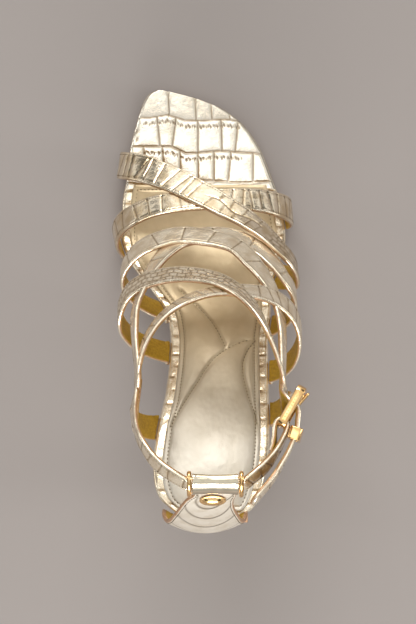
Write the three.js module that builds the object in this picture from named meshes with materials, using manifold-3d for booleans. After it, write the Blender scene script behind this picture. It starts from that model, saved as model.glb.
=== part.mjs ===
// High-heeled strappy sandal, right shoe. Millimetres, +Y toward the toe, +X lateral, +Z up.
import * as THREE from 'three';
import { mergeVertices } from 'three/addons/utils/BufferGeometryUtils.js';
import Module from 'manifold-3d';

const wasm = await Module();
wasm.setup();

// Driving sizes of the last and the bottom
const BOARD_LENGTH = 220;
const BALL_WIDTH = 87;
const HEEL_RISE = 88;
const BOARD_THICKNESS = 4;
const BOARD_BEVEL = 1.1;
const OUTSOLE_THICKNESS = 2.8;
const OUTSOLE_INSET = 0.6;
const SOCK_THICKNESS = 1.6;
const SOCK_CROWN = 0.7;
const SOCK_INSET = 4.6;
const SOCK_BACK_INSET = 5;
const GAP = 0.3;

// Heel and its tip
const HEEL_INSET = 1.4;
const TIP_THICKNESS = 6;

// Foot form that the straps lie on
const INSTEP_HEIGHT = 158;
const STRAP_WIDTH = 12.4;
const STRAP_THICKNESS = 2.2;
const STRAP_BOND = 0.35;
const STRAP_CORNER = 0.5;

// Heel tab, strap tunnel, its rings and the stud
const TAB_HEIGHT = 69;
const TAB_THICKNESS = 2;
const TAB_LEAN = 25;
const TUNNEL_SHIFT = 3.4;
const TUNNEL_LENGTH = 21.6;
const TUNNEL_WIDE = 13.4;
const TUNNEL_DEEP = 7;
const TUNNEL_WALL = 1;
const RING_WIRE = 2.2;
const STUD_WIDE = 12.5;
const STUD_TALL = 8.5;
const STUD_HEIGHT = 2.2;

// Buckle, its prong and the keeper
const BUCKLE_LENGTH = 21.5;
const BUCKLE_HEIGHT = 19;
const BUCKLE_BAR = 3;
const BUCKLE_DEPTH = 4.4;
const BUCKLE_CORNER = 3.5;
const HINGE_BAR = 2.2;
const BUCKLE_TILT = 0.2;
const PRONG_RADIUS = 0.9;
const PRONG_PLAY = 0.5;
const FOLD_THICKNESS = 1.5;
const KEEPER_LENGTH = 6;
const KEEPER_WALL = 1.6;
const KEEPER_STAND = 0.3;
const KEEPER_PLAY = 0.35;
const KEEPER_BACK = 2;

const GOLD_LEATHER = { color: 0xd9c8a4, roughness: 0.3, metalness: 0.75 };
const SATIN = { color: 0xd8ccb0, roughness: 0.55, metalness: 0.1 };
const EDGE_TAN = { color: 0xc8a070, roughness: 0.6, metalness: 0 };
const GOLD_METAL = { color: 0xe6b45c, roughness: 0.22, metalness: 1 };
const TIP_BROWN = { color: 0x4a3a2c, roughness: 0.7, metalness: 0 };

// Shares of the board's length where the sock ends and where the heel's breast stands
const SOCK_FRONT = 0.775;
const HEEL_BREAST = 0.235;

// Board outline: along as a share of the length from the back, the two sides as shares of the ball width
const OUTLINE = [
  { along: 0.0, medial: -0.07, lateral: 0.08 },
  { along: 0.012, medial: -0.145, lateral: 0.18 },
  { along: 0.03, medial: -0.215, lateral: 0.255 },
  { along: 0.055, medial: -0.28, lateral: 0.292 },
  { along: 0.09, medial: -0.308, lateral: 0.318 },
  { along: 0.13, medial: -0.314, lateral: 0.343 },
  { along: 0.2, medial: -0.294, lateral: 0.356 },
  { along: 0.29, medial: -0.245, lateral: 0.354 },
  { along: 0.4, medial: -0.221, lateral: 0.354 },
  { along: 0.46, medial: -0.24, lateral: 0.373 },
  { along: 0.52, medial: -0.335, lateral: 0.38 },
  { along: 0.59, medial: -0.469, lateral: 0.435 },
  { along: 0.65, medial: -0.525, lateral: 0.47 },
  { along: 0.73, medial: -0.519, lateral: 0.44 },
  { along: 0.8, medial: -0.49, lateral: 0.38 },
  { along: 0.86, medial: -0.473, lateral: 0.318 },
  { along: 0.92, medial: -0.435, lateral: 0.211 },
  { along: 0.955, medial: -0.408, lateral: 0.095 },
  { along: 0.98, medial: -0.38, lateral: -0.055 },
  { along: 0.993, medial: -0.352, lateral: -0.18 },
  { along: 1.0, medial: -0.31, lateral: -0.265 },
];

// Side profile of the board's top: up is a share of the heel rise above the ball
const PROFILE = [
  { along: 0.0, up: 1.0 },
  { along: 0.1, up: 0.915 },
  { along: 0.2, up: 0.79 },
  { along: 0.3, up: 0.605 },
  { along: 0.4, up: 0.405 },
  { along: 0.5, up: 0.215 },
  { along: 0.6, up: 0.065 },
  { along: 0.67, up: 0.0 },
  { along: 0.78, up: 0.0 },
  { along: 0.88, up: 0.014 },
  { along: 1.0, up: 0.052 },
];

// Heel sections: up from the tip to the seat, wide and deep as shares of the seat, back as a share of its depth
const HEEL_SECTIONS = [
  { up: 0.0, wide: 0.46, deep: 0.46, back: 0.15 },
  { up: 0.25, wide: 0.46, deep: 0.47, back: 0.14 },
  { up: 0.5, wide: 0.5, deep: 0.53, back: 0.12 },
  { up: 0.7, wide: 0.6, deep: 0.64, back: 0.09 },
  { up: 0.86, wide: 0.77, deep: 0.81, back: 0.045 },
  { up: 1.0, wide: 1.0, deep: 1.0, back: 0.0 },
];

// Heel tab rows: up as a share of its height, back as a share of its lean, half width as a share of the
// tunnel's length, shift as a share of the tunnel's shift
const TAB = [
  { up: -0.07, back: -0.12, half: 1.0, shift: -0.45 },
  { up: 0.0, back: -0.15, half: 1.0, shift: -0.45 },
  { up: 0.12, back: -0.19, half: 0.95, shift: -0.42 },
  { up: 0.3, back: -0.1, half: 0.86, shift: -0.38 },
  { up: 0.5, back: 0.1, half: 0.75, shift: -0.3 },
  { up: 0.7, back: 0.37, half: 0.6, shift: -0.15 },
  { up: 0.79, back: 0.53, half: 0.53, shift: 0.2 },
  { up: 0.87, back: 0.69, half: 0.465, shift: 1.0 },
  { up: 1.0, back: 1.0, half: 0.46, shift: 1.0 },
];

// Rings of the foot form. edge: where the ring meets the bottom, a share of the board's length, or below
// zero a share of the tab's height. over and up: the instep point, shares of the board's length and of the
// instep height. medial and lateral: half widths at the widest, shares of the ball width.
const FORM = [
  { edge: -1.0, over: 0.41, up: 1.0, medial: 0.37, lateral: 0.385 },
  { edge: -0.5, over: 0.428, up: 0.94, medial: 0.378, lateral: 0.402 },
  { edge: 0.0, over: 0.45, up: 0.88, medial: 0.388, lateral: 0.42 },
  { edge: 0.1, over: 0.47, up: 0.805, medial: 0.405, lateral: 0.435 },
  { edge: 0.2, over: 0.5, up: 0.71, medial: 0.44, lateral: 0.457 },
  { edge: 0.3, over: 0.535, up: 0.605, medial: 0.475, lateral: 0.485 },
  { edge: 0.4, over: 0.578, up: 0.505, medial: 0.48, lateral: 0.485 },
  { edge: 0.5, over: 0.627, up: 0.405, medial: 0.48, lateral: 0.47 },
  { edge: 0.6, over: 0.682, up: 0.315, medial: 0.5, lateral: 0.46 },
  { edge: 0.7, over: 0.742, up: 0.245, medial: 0.52, lateral: 0.455 },
  { edge: 0.8, over: 0.81, up: 0.18, medial: 0.49, lateral: 0.4 },
  { edge: 0.9, over: 0.89, up: 0.125, medial: 0.455, lateral: 0.27 },
];

// Strap centre lines on the form. around: -1 medial edge, 0 instep, 1 lateral edge, past 1 behind the heel.
// edge: the form's ring. lift: height over the form in strap thicknesses. wide: share of the strap width.
// upright: how far the strap's face is turned from the form's to a vertical one.
const VAMP_OVER = [
  { around: -1.0, edge: 0.822, lift: 0.0, wide: 1.12, upright: 0.0 },
  { around: -0.655, edge: 0.816, lift: 0.1, wide: 1.15, upright: 0.0 },
  { around: -0.395, edge: 0.803, lift: 0.4, wide: 1.18, upright: 0.0 },
  { around: -0.26, edge: 0.785, lift: 0.6, wide: 1.2, upright: 0.0 },
  { around: -0.095, edge: 0.737, lift: 0.9, wide: 1.2, upright: 0.0 },
  { around: -0.02, edge: 0.697, lift: 1.0, wide: 1.18, upright: 0.0 },
  { around: 0.055, edge: 0.653, lift: 1.0, wide: 1.14, upright: 0.0 },
  { around: 0.145, edge: 0.608, lift: 1.1, wide: 1.1, upright: 0.0 },
  { around: 0.215, edge: 0.569, lift: 1.3, wide: 1.08, upright: 0.0 },
  { around: 0.35, edge: 0.51, lift: 1.5, wide: 1.05, upright: 0.0 },
  { around: 0.55, edge: 0.495, lift: 1.4, wide: 1.05, upright: 0.0 },
  { around: 0.8, edge: 0.53, lift: 0.5, wide: 1.05, upright: 0.0 },
  { around: 1.0, edge: 0.56, lift: 0.0, wide: 1.05, upright: 0.0 },
];
const VAMP_UNDER = [
  { around: -1.0, edge: 0.63, lift: 0.0, wide: 1.0, upright: 0.0 },
  { around: -0.725, edge: 0.632, lift: 0.0, wide: 1.0, upright: 0.0 },
  { around: -0.49, edge: 0.642, lift: 0.0, wide: 1.0, upright: 0.0 },
  { around: -0.37, edge: 0.648, lift: 0.0, wide: 1.0, upright: 0.0 },
  { around: -0.255, edge: 0.661, lift: 0.0, wide: 1.0, upright: 0.0 },
  { around: -0.1, edge: 0.673, lift: 0.0, wide: 1.0, upright: 0.0 },
  { around: 0.08, edge: 0.683, lift: 0.0, wide: 1.04, upright: 0.0 },
  { around: 0.205, edge: 0.687, lift: 0.0, wide: 1.08, upright: 0.0 },
  { around: 0.44, edge: 0.688, lift: 0.0, wide: 1.1, upright: 0.0 },
  { around: 1.0, edge: 0.7, lift: 0.0, wide: 1.1, upright: 0.0 },
];
const MIDDLE_OVER = [
  { around: -1.0, edge: 0.475, lift: 0.0, wide: 1.0, upright: 0.0 },
  { around: -0.6, edge: 0.48, lift: 0.3, wide: 1.0, upright: 0.0 },
  { around: -0.45, edge: 0.488, lift: 0.6, wide: 1.0, upright: 0.0 },
  { around: -0.25, edge: 0.512, lift: 1.0, wide: 1.0, upright: 0.0 },
  { around: -0.1, edge: 0.522, lift: 1.0, wide: 1.0, upright: 0.0 },
  { around: 0.05, edge: 0.488, lift: 1.0, wide: 1.0, upright: 0.0 },
  { around: 0.165, edge: 0.4, lift: 0.6, wide: 0.97, upright: 0.2 },
  { around: 0.3, edge: 0.285, lift: 0.0, wide: 0.95, upright: 0.6 },
  { around: 0.395, edge: 0.18, lift: 0.0, wide: 0.92, upright: 0.8 },
  { around: 0.445, edge: 0.0, lift: 0.0, wide: 0.9, upright: 0.8 },
  { around: 0.47, edge: -0.3, lift: 0.0, wide: 0.88, upright: 0.8 },
  { around: 0.485, edge: -0.6, lift: 0.0, wide: 0.88, upright: 0.8 },
];
const MIDDLE_UNDER = [
  { around: 1.0, edge: 0.44, lift: 0.0, wide: 1.0, upright: 0.0 },
  { around: 0.7, edge: 0.425, lift: 0.0, wide: 1.0, upright: 0.0 },
  { around: 0.4, edge: 0.42, lift: 0.0, wide: 1.0, upright: 0.0 },
  { around: 0.3, edge: 0.45, lift: 0.0, wide: 1.0, upright: 0.0 },
  { around: 0.2, edge: 0.495, lift: 0.0, wide: 1.0, upright: 0.0 },
  { around: 0.1, edge: 0.525, lift: 0.0, wide: 1.0, upright: 0.0 },
  { around: 0.0, edge: 0.53, lift: 0.0, wide: 1.0, upright: 0.0 },
  { around: -0.1, edge: 0.515, lift: 0.0, wide: 1.0, upright: 0.1 },
  { around: -0.19, edge: 0.455, lift: 0.0, wide: 0.97, upright: 0.5 },
  { around: -0.255, edge: 0.385, lift: 0.0, wide: 0.95, upright: 0.85 },
  { around: -0.32, edge: 0.31, lift: 0.0, wide: 0.93, upright: 1.0 },
  { around: -0.38, edge: 0.24, lift: 0.0, wide: 0.9, upright: 1.0 },
  { around: -0.435, edge: 0.14, lift: 0.0, wide: 0.9, upright: 1.0 },
  { around: -0.475, edge: -0.1, lift: 0.0, wide: 0.88, upright: 1.0 },
];
const REAR_OVER = [
  { around: -1.0, edge: 0.379, lift: 0.0, wide: 1.0, upright: 0.0 },
  { around: -0.7, edge: 0.357, lift: 0.5, wide: 1.0, upright: 0.0 },
  { around: -0.5, edge: 0.348, lift: 1.0, wide: 1.0, upright: 0.0 },
  { around: -0.38, edge: 0.36, lift: 1.0, wide: 1.0, upright: 0.0 },
  { around: -0.2, edge: 0.348, lift: 1.0, wide: 1.0, upright: 0.0 },
  { around: -0.1, edge: 0.333, lift: 1.0, wide: 1.0, upright: 0.0 },
  { around: 0.0, edge: 0.298, lift: 1.0, wide: 1.0, upright: 0.1 },
  { around: 0.09, edge: 0.235, lift: 1.0, wide: 0.97, upright: 0.5 },
  { around: 0.2, edge: 0.148, lift: 0.8, wide: 0.95, upright: 0.85 },
  { around: 0.27, edge: 0.09, lift: 0.7, wide: 0.94, upright: 0.95 },
  { around: 0.345, edge: 0.03, lift: 0.7, wide: 0.92, upright: 0.95 },
  { around: 0.41, edge: -0.08, lift: 0.8, wide: 0.9, upright: 0.95 },
  { around: 0.46, edge: -0.33, lift: 0.9, wide: 0.88, upright: 0.9 },
  { around: 0.485, edge: -0.6, lift: 0.6, wide: 0.88, upright: 0.9 },
];
const ANKLE = [
  { around: 1.0, edge: 0.335, lift: 0.0, wide: 1.0, upright: 0.0 },
  { around: 0.75, edge: 0.305, lift: 0.5, wide: 1.0, upright: 0.0 },
  { around: 0.56, edge: 0.293, lift: 1.1, wide: 1.0, upright: 0.0 },
  { around: 0.42, edge: 0.288, lift: 1.4, wide: 1.0, upright: 0.0 },
  { around: 0.3, edge: 0.281, lift: 1.2, wide: 1.0, upright: 0.0 },
  { around: 0.2, edge: 0.271, lift: 0.7, wide: 1.0, upright: 0.1 },
  { around: 0.1, edge: 0.256, lift: 0.1, wide: 0.98, upright: 0.2 },
  { around: 0.0, edge: 0.232, lift: 0.0, wide: 0.96, upright: 0.4 },
  { around: -0.13, edge: 0.178, lift: 0.0, wide: 0.94, upright: 0.5 },
  { around: -0.26, edge: 0.142, lift: 0.0, wide: 0.92, upright: 0.5 },
  { around: -0.4, edge: 0.105, lift: 0.0, wide: 0.9, upright: 0.5 },
  { around: -0.46, edge: 0.03, lift: 0.3, wide: 0.88, upright: 0.5 },
  { around: -0.5, edge: -0.2, lift: 0.6, wide: 0.88, upright: 0.3 },
  { around: -0.6, edge: -0.6, lift: 0.2, wide: 0.88, upright: 0.1 },
  { around: -0.72, edge: -0.85, lift: 0.0, wide: 0.87, upright: 0.0 },
  { around: -0.86, edge: -0.95, lift: 0.0, wide: 0.82, upright: 0.0 },
  { around: -0.97, edge: -1.0, lift: 0.0, wide: 0.71, upright: 0.0 },
  { around: -1.2, edge: -1.0, lift: 0.0, wide: 0.71, upright: 0.0 },
  { around: -1.43, edge: -1.0, lift: 0.0, wide: 0.71, upright: 0.0 },
  { around: -1.54, edge: -0.96, lift: 0.1, wide: 0.82, upright: 0.0 },
  { around: -1.67, edge: -0.92, lift: 0.8, wide: 0.87, upright: 0.3 },
  { around: -1.775, edge: -0.88, lift: 1.5, wide: 0.88, upright: 0.5 },
];
const MEDIAL_QUARTER = [
  { around: -1.0, edge: 0.21, lift: 0.0, wide: 1.0, upright: 0.0 },
  { around: -0.8, edge: 0.15, lift: 0.0, wide: 0.97, upright: 0.0 },
  { around: -0.62, edge: 0.06, lift: 0.0, wide: 0.94, upright: 0.0 },
  { around: -0.5, edge: -0.03, lift: 0.0, wide: 0.9, upright: 0.3 },
  { around: -0.43, edge: -0.15, lift: 0.0, wide: 0.88, upright: 0.5 },
];
const LATERAL_QUARTER = [
  { around: 1.0, edge: 0.24, lift: 0.0, wide: 1.0, upright: 0.0 },
  { around: 0.8, edge: 0.2, lift: 0.0, wide: 0.97, upright: 0.0 },
  { around: 0.65, edge: 0.11, lift: 0.0, wide: 0.94, upright: 0.2 },
  { around: 0.56, edge: 0.0, lift: 0.0, wide: 0.92, upright: 0.5 },
  { around: 0.5, edge: -0.2, lift: 0.0, wide: 0.9, upright: 0.6 },
  { around: 0.47, edge: -0.45, lift: 0.0, wide: 0.88, upright: 0.7 },
];
const BILLET_FRONT = [
  { around: 0.45, edge: -0.3, lift: 0.45, wide: 0.88, upright: 0.7 },
  { around: 0.47, edge: -0.6, lift: 0.45, wide: 0.88, upright: 0.7 },
  { around: 0.5, edge: -0.8, lift: 0.45, wide: 0.88, upright: 0.7 },
];

// Fold of the ankle strap round the buckle's bar: behind the bar's middle and out from the strap's inner
// face, in strap thicknesses
const FOLD_LEG = [
  { behind: 1.2, out: -1.55 },
  { behind: 2.8, out: -1.0 },
  { behind: 4.4, out: -0.4 },
  { behind: 6.0, out: 0.15 },
];

// Free tail outside the ankle strap: ahead of the bar as a share of the buckle's length, then behind it as
// a share of the run from the tunnel's mouth to the bar; out and down in strap thicknesses
const TAIL_IN_BUCKLE = [
  { ahead: 0.43, out: 0.75, down: 0.0 },
  { ahead: 0.18, out: 1.6, down: 0.0 },
];
const TAIL_BEHIND = [
  { behind: 0.035, out: 1.98, down: 0.0 },
  { behind: 0.18, out: 2.0, down: 0.1 },
  { behind: 0.34, out: 2.1, down: 0.4 },
  { behind: 0.52, out: 2.2, down: 0.8 },
  { behind: 0.68, out: 2.4, down: 1.1 },
  { behind: 0.84, out: 2.8, down: 1.3 },
  { behind: 1.0, out: 3.4, down: 1.6 },
  { behind: 1.16, out: 4.5, down: 2.0 },
];
const TAIL_UPRIGHT = 0.6;

// Steps along the curves
const BOARD_STEPS = 44;
const STRAP_STEPS = 26;
const LONG_STRAP_STEPS = 36;
const ANKLE_STEPS = 64;

// Smooth curve through a table's columns that never overshoots, as a function of one column
function column(rows, key, value) {
  const x = rows.map((row) => row[key]);
  const y = rows.map((row) => row[value]);
  const slope = x.slice(1).map((next, i) => (y[i + 1] - y[i]) / (next - x[i]));
  const tangent = x.map((_, i) => {
    if (i === 0 || i === x.length - 1) return slope[Math.min(i, slope.length - 1)];
    if (slope[i - 1] * slope[i] <= 0) return 0;
    return (2 * slope[i - 1] * slope[i]) / (slope[i - 1] + slope[i]);
  });
  return (at) => {
    const a = Math.min(Math.max(at, x[0]), x[x.length - 1]);
    let i = 0;
    while (i < x.length - 2 && a > x[i + 1]) i += 1;
    const step = x[i + 1] - x[i];
    const t = (a - x[i]) / step;
    const start = (1 + 2 * t) * (1 - t) ** 2 * y[i] + t * (1 - t) ** 2 * step * tangent[i];
    return start + t * t * (3 - 2 * t) * y[i + 1] + t * t * (t - 1) * step * tangent[i + 1];
  };
}

const medialShare = column(OUTLINE, 'along', 'medial');
const lateralShare = column(OUTLINE, 'along', 'lateral');
const riseShare = column(PROFILE, 'along', 'up');
const BALL_TOP = OUTSOLE_THICKNESS + GAP + BOARD_THICKNESS;

const medialX = (y) => BALL_WIDTH * medialShare(y / BOARD_LENGTH);
const lateralX = (y) => BALL_WIDTH * lateralShare(y / BOARD_LENGTH);
const boardTop = (y) => BALL_TOP + HEEL_RISE * riseShare(y / BOARD_LENGTH);
const slopeAt = (y) => (boardTop(y + 1) - boardTop(y - 1)) / 2;
const stretch = (y) => Math.hypot(1, slopeAt(y));
const boardBottom = (y) => boardTop(y) - BOARD_THICKNESS * stretch(y);
const vector = (x, y, z) => new THREE.Vector3(x, y, z);

// A closed mesh through rings of equal count, with its faces pointing out
function loft(rings, { joinEnds = false } = {}) {
  const count = rings[0].length;
  const points = rings.flat();
  const faces = [];
  const spans = joinEnds ? rings.length : rings.length - 1;
  for (let j = 0; j < spans; j += 1) {
    const k = (j + 1) % rings.length;
    for (let i = 0; i < count; i += 1) {
      const n = (i + 1) % count;
      faces.push([j * count + i, j * count + n, k * count + n]);
      faces.push([j * count + i, k * count + n, k * count + i]);
    }
  }
  if (!joinEnds) {
    for (const j of [0, rings.length - 1]) {
      const middle = rings[j].reduce((sum, p) => sum.add(p), vector(0, 0, 0)).divideScalar(count);
      const centre = points.push(middle) - 1;
      for (let i = 0; i < count; i += 1) {
        const n = (i + 1) % count;
        const face = [centre, j * count + n, j * count + i];
        faces.push(j === 0 ? face : face.reverse());
      }
    }
  }
  const volume = faces.reduce((sum, [a, b, c]) => {
    const cross = new THREE.Vector3().crossVectors(points[b], points[c]);
    return sum + points[a].dot(cross);
  }, 0);
  const geometry = new THREE.BufferGeometry();
  const numbers = points.flatMap((p) => p.toArray());
  geometry.setAttribute('position', new THREE.Float32BufferAttribute(numbers, 3));
  geometry.setIndex(faces.flatMap((face) => (volume > 0 ? face : [...face].reverse())));
  return geometry;
}

function solid(geometry) {
  const bare = new THREE.BufferGeometry();
  bare.setAttribute('position', geometry.getAttribute('position').clone());
  if (geometry.index) bare.setIndex(geometry.index.clone());
  const merged = mergeVertices(bare, 1e-4);
  return new wasm.Manifold(new wasm.Mesh({
    numProp: 3,
    vertProperties: new Float32Array(merged.getAttribute('position').array),
    triVerts: new Uint32Array(merged.index.array),
  }));
}

function geometryOf(manifold) {
  const mesh = manifold.getMesh();
  const geometry = new THREE.BufferGeometry();
  geometry.setAttribute('position', new THREE.BufferAttribute(mesh.vertProperties, 3));
  geometry.setIndex(new THREE.BufferAttribute(mesh.triVerts, 1));
  return geometry;
}

const group = new THREE.Group();
function piece(name, geometry, finish) {
  const mesh = new THREE.Mesh(geometry, new THREE.MeshStandardMaterial(finish));
  mesh.name = name;
  group.add(mesh);
  return mesh;
}

// Stations along the bottom, closer together at both round ends
function stations(from, to, count) {
  return Array.from({ length: count + 1 }, (_, i) => {
    const t = i / count;
    return from + (to - from) * (0.5 * t + 0.25 * (1 - Math.cos(Math.PI * t)));
  });
}

// Insole board wrapped in leather; grown by a clearance it cuts what lies against it
function boardRing(y, grow = 0) {
  const m = medialX(y) - grow * Math.hypot(1, medialX(y + 0.5) - medialX(y - 0.5));
  const l = lateralX(y) + grow * Math.hypot(1, lateralX(y + 0.5) - lateralX(y - 0.5));
  const top = boardTop(y) + grow * stretch(y);
  const bottom = boardBottom(y) - grow * stretch(y);
  const b = Math.min(BOARD_BEVEL, (l - m) / 4);
  return [
    [m, bottom + b], [m, top - b], [m + b, top], [l - b, top],
    [l, top - b], [l, bottom + b], [l - b, bottom], [m + b, bottom],
  ].map(([x, z]) => vector(x, y, z));
}
const boardStations = stations(0, BOARD_LENGTH, BOARD_STEPS);
const STATION_ROOM = 1;
const between = (from, to) => [
  from, ...boardStations.filter((y) => y > from + STATION_ROOM && y < to - STATION_ROOM), to,
];
piece('footbed', loft(boardStations.map((y) => boardRing(y))), GOLD_LEATHER);
function boardRoom() {
  const rings = boardStations.map((y) => boardRing(y, GAP));
  const before = boardRing(0, GAP).map((p) => p.add(vector(0, -GAP, 0)));
  return solid(loft([before, ...rings]));
}

// Outsole from the heel breast to the toe
const breastY = HEEL_BREAST * BOARD_LENGTH;
function outsoleRing(y) {
  const m = medialX(y) + OUTSOLE_INSET;
  const l = lateralX(y) - OUTSOLE_INSET;
  const top = boardBottom(y) - GAP * stretch(y);
  const bottom = top - OUTSOLE_THICKNESS * stretch(y);
  return [[m, top], [l, top], [l, bottom], [m, bottom]].map(([x, z]) => vector(x, y, z));
}
const outsoleStations = between(breastY + GAP, BOARD_LENGTH - OUTSOLE_INSET);
piece('outsole', loft(outsoleStations.map(outsoleRing)), EDGE_TAN);

// Padded sock on the board
const SOCK_EASE = 4;
const SOCK_SIDE = 0.6;
const SOCK_ROUND = 0.06;
const SOCK_CROWN_PART = 0.3;
function sockRing(y, t) {
  const ease = Math.min(1, Math.sin(Math.PI * Math.min(t, 1 - t)) * SOCK_EASE);
  const m = medialX(y) + SOCK_INSET;
  const l = lateralX(y) - SOCK_INSET;
  const level = (height) => boardTop(y) + (GAP + height) * stretch(y);
  const across = (share) => m + (l - m) * share;
  return [
    [m, level(0)], [m, level(SOCK_THICKNESS * SOCK_SIDE)], [across(SOCK_ROUND), level(SOCK_THICKNESS)],
    [across(SOCK_CROWN_PART), level(SOCK_THICKNESS + SOCK_CROWN * ease)],
    [across(1 - SOCK_CROWN_PART), level(SOCK_THICKNESS + SOCK_CROWN * ease)],
    [across(1 - SOCK_ROUND), level(SOCK_THICKNESS)], [l, level(SOCK_THICKNESS * SOCK_SIDE)], [l, level(0)],
  ].map(([x, z]) => vector(x, y, z));
}
const sockStations = between(SOCK_BACK_INSET, SOCK_FRONT * BOARD_LENGTH);
const sockRings = sockStations.map((y, i) => sockRing(y, i / (sockStations.length - 1)));
piece('sock', loft(sockRings), SATIN);

// Covered heel: the seat's outline drawn in toward the tip
const seatRows = between(HEEL_INSET, breastY);
const seatRing = [
  ...[...seatRows].reverse().map((y) => [lateralX(y) - HEEL_INSET, y]),
  ...seatRows.map((y) => [medialX(y) + HEEL_INSET, y]),
];
const seatMiddle = (lateralX(breastY) + medialX(breastY)) / 2;
const seatDepth = breastY - HEEL_INSET;
const seatUnder = (y) => boardBottom(y) - GAP * stretch(y);
function heelRing(row, lowest) {
  return seatRing.map(([x, y]) => vector(
    seatMiddle + (x - seatMiddle) * row.wide,
    HEEL_INSET + row.back * seatDepth + (y - HEEL_INSET) * row.deep,
    lowest + (seatUnder(y) - lowest) * row.up,
  ));
}
function tipRing(height) {
  return heelRing(HEEL_SECTIONS[0], 0).map((p) => p.setZ(height));
}
const SEAT_SHRINKS = [0.6, 0.2];
const seatCaps = SEAT_SHRINKS.map((share) => seatRing.map(([x, y]) => {
  const inner = HEEL_INSET + seatDepth / 2 + (y - HEEL_INSET - seatDepth / 2) * share;
  return vector(seatMiddle + (x - seatMiddle) * share, inner, seatUnder(inner));
}));
const heelRings = HEEL_SECTIONS.map((row) => heelRing(row, TIP_THICKNESS + GAP));
piece('heel', loft([...heelRings, ...seatCaps]), GOLD_LEATHER);
piece('top_lift', loft([tipRing(0), tipRing(TIP_THICKNESS)]), TIP_BROWN);

// Outer face of the heel tab: side runs from -1 to 1, and the face wraps the back of the seat
const tabBack = column(TAB, 'up', 'back');
const tabHalf = column(TAB, 'up', 'half');
const seatBackTop = boardTop(0);
const tabShift = column(TAB, 'up', 'shift');
const WRAP_BASE = 0.37;
const WRAP_TOP = 0.045;
function tabPoint(up, side) {
  const half = tabHalf(up) * TUNNEL_LENGTH;
  const bend = THREE.MathUtils.lerp(WRAP_BASE, WRAP_TOP, Math.max(up, 0)) / TUNNEL_LENGTH;
  const back = TAB_LEAN * tabBack(up) + bend * (half * side) ** 2;
  return vector(TUNNEL_SHIFT * tabShift(up) + half * side, back, seatBackTop + TAB_HEIGHT * up);
}
function tabNormal(up, side) {
  const d = 0.02;
  const rise = tabPoint(Math.min(up + d, 1), side).sub(tabPoint(up - d, side));
  const across = tabPoint(up, side + d).sub(tabPoint(up, side - d));
  return across.cross(rise).normalize();
}

// Foot form: a ring for each edge value, closed behind the heel
const formOver = column(FORM, 'edge', 'over');
const formUp = column(FORM, 'edge', 'up');
const formMedial = column(FORM, 'edge', 'medial');
const formLateral = column(FORM, 'edge', 'lateral');
const EDGE_BLEND = 0.05;
const TUNNEL_UP = 0.985;
function edgePoint(edge, side) {
  const y = Math.max(edge, EDGE_BLEND) * BOARD_LENGTH;
  const x = side < 0 ? medialX(y) - GAP : lateralX(y) + GAP;
  const onBoard = vector(x, y, boardTop(y) - BOARD_BEVEL);
  if (edge >= EDGE_BLEND) return onBoard;
  const t = (EDGE_BLEND - edge) / (1 + EDGE_BLEND);
  const up = TUNNEL_UP * t;
  const high = vector(
    TUNNEL_SHIFT + side * (TUNNEL_LENGTH / 2 + RING_WIRE + 2 * GAP),
    TAB_LEAN * tabBack(up), seatBackTop + TAB_HEIGHT * up,
  );
  const blend = Math.min(1, 3 * t);
  return vector(
    THREE.MathUtils.lerp(onBoard.x, high.x, Math.sin((t * Math.PI) / 2)),
    THREE.MathUtils.lerp(onBoard.y, high.y, blend),
    THREE.MathUtils.lerp(onBoard.z, high.z, blend),
  );
}
const BACK_SPAN = 0.2;
const EDGE_PART = 0.166;
const HANDLE_PART = 0.7425;
const HANDLE_RISE = 0.3;
const TOP_DRIFT = 0.5;
function formPoint(edge, around) {
  const turn = 2 + 2 * BACK_SPAN;
  const at = around < -1 - BACK_SPAN ? around + turn : around;
  const side = at < 0 ? -1 : 1;
  const start = edgePoint(edge, side);
  const foot = edgePoint(edge, -1).add(edgePoint(edge, 1)).multiplyScalar(0.5);
  if (Math.abs(at) > 1) return start.lerp(foot, (Math.abs(at) - 1) / BACK_SPAN);
  const top = vector(
    foot.x * TOP_DRIFT, formOver(edge) * BOARD_LENGTH, BALL_TOP + formUp(edge) * INSTEP_HEIGHT,
  );
  const share = side < 0 ? formMedial(edge) : formLateral(edge);
  const handle = (share * BALL_WIDTH - EDGE_PART * side * start.x) / HANDLE_PART;
  const low = start.clone().addScaledVector(top.clone().sub(foot), HANDLE_RISE).setX(side * handle);
  const high = top.clone().setX(side * handle);
  const s = Math.abs(at);
  const t = 1 - s;
  return vector(0, 0, 0)
    .addScaledVector(start, s ** 3).addScaledVector(low, 3 * s * s * t)
    .addScaledVector(high, 3 * s * t * t).addScaledVector(top, t ** 3);
}
function formNormal(edge, around) {
  const d = 0.01;
  const a = formPoint(edge, around + d).sub(formPoint(edge, around - d));
  const b = formPoint(edge + d, around).sub(formPoint(Math.max(edge - d, -1), around));
  return a.cross(b).normalize();
}

const turned = (normal, upright) => normal.setZ(normal.z * (1 - upright)).normalize();

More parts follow.
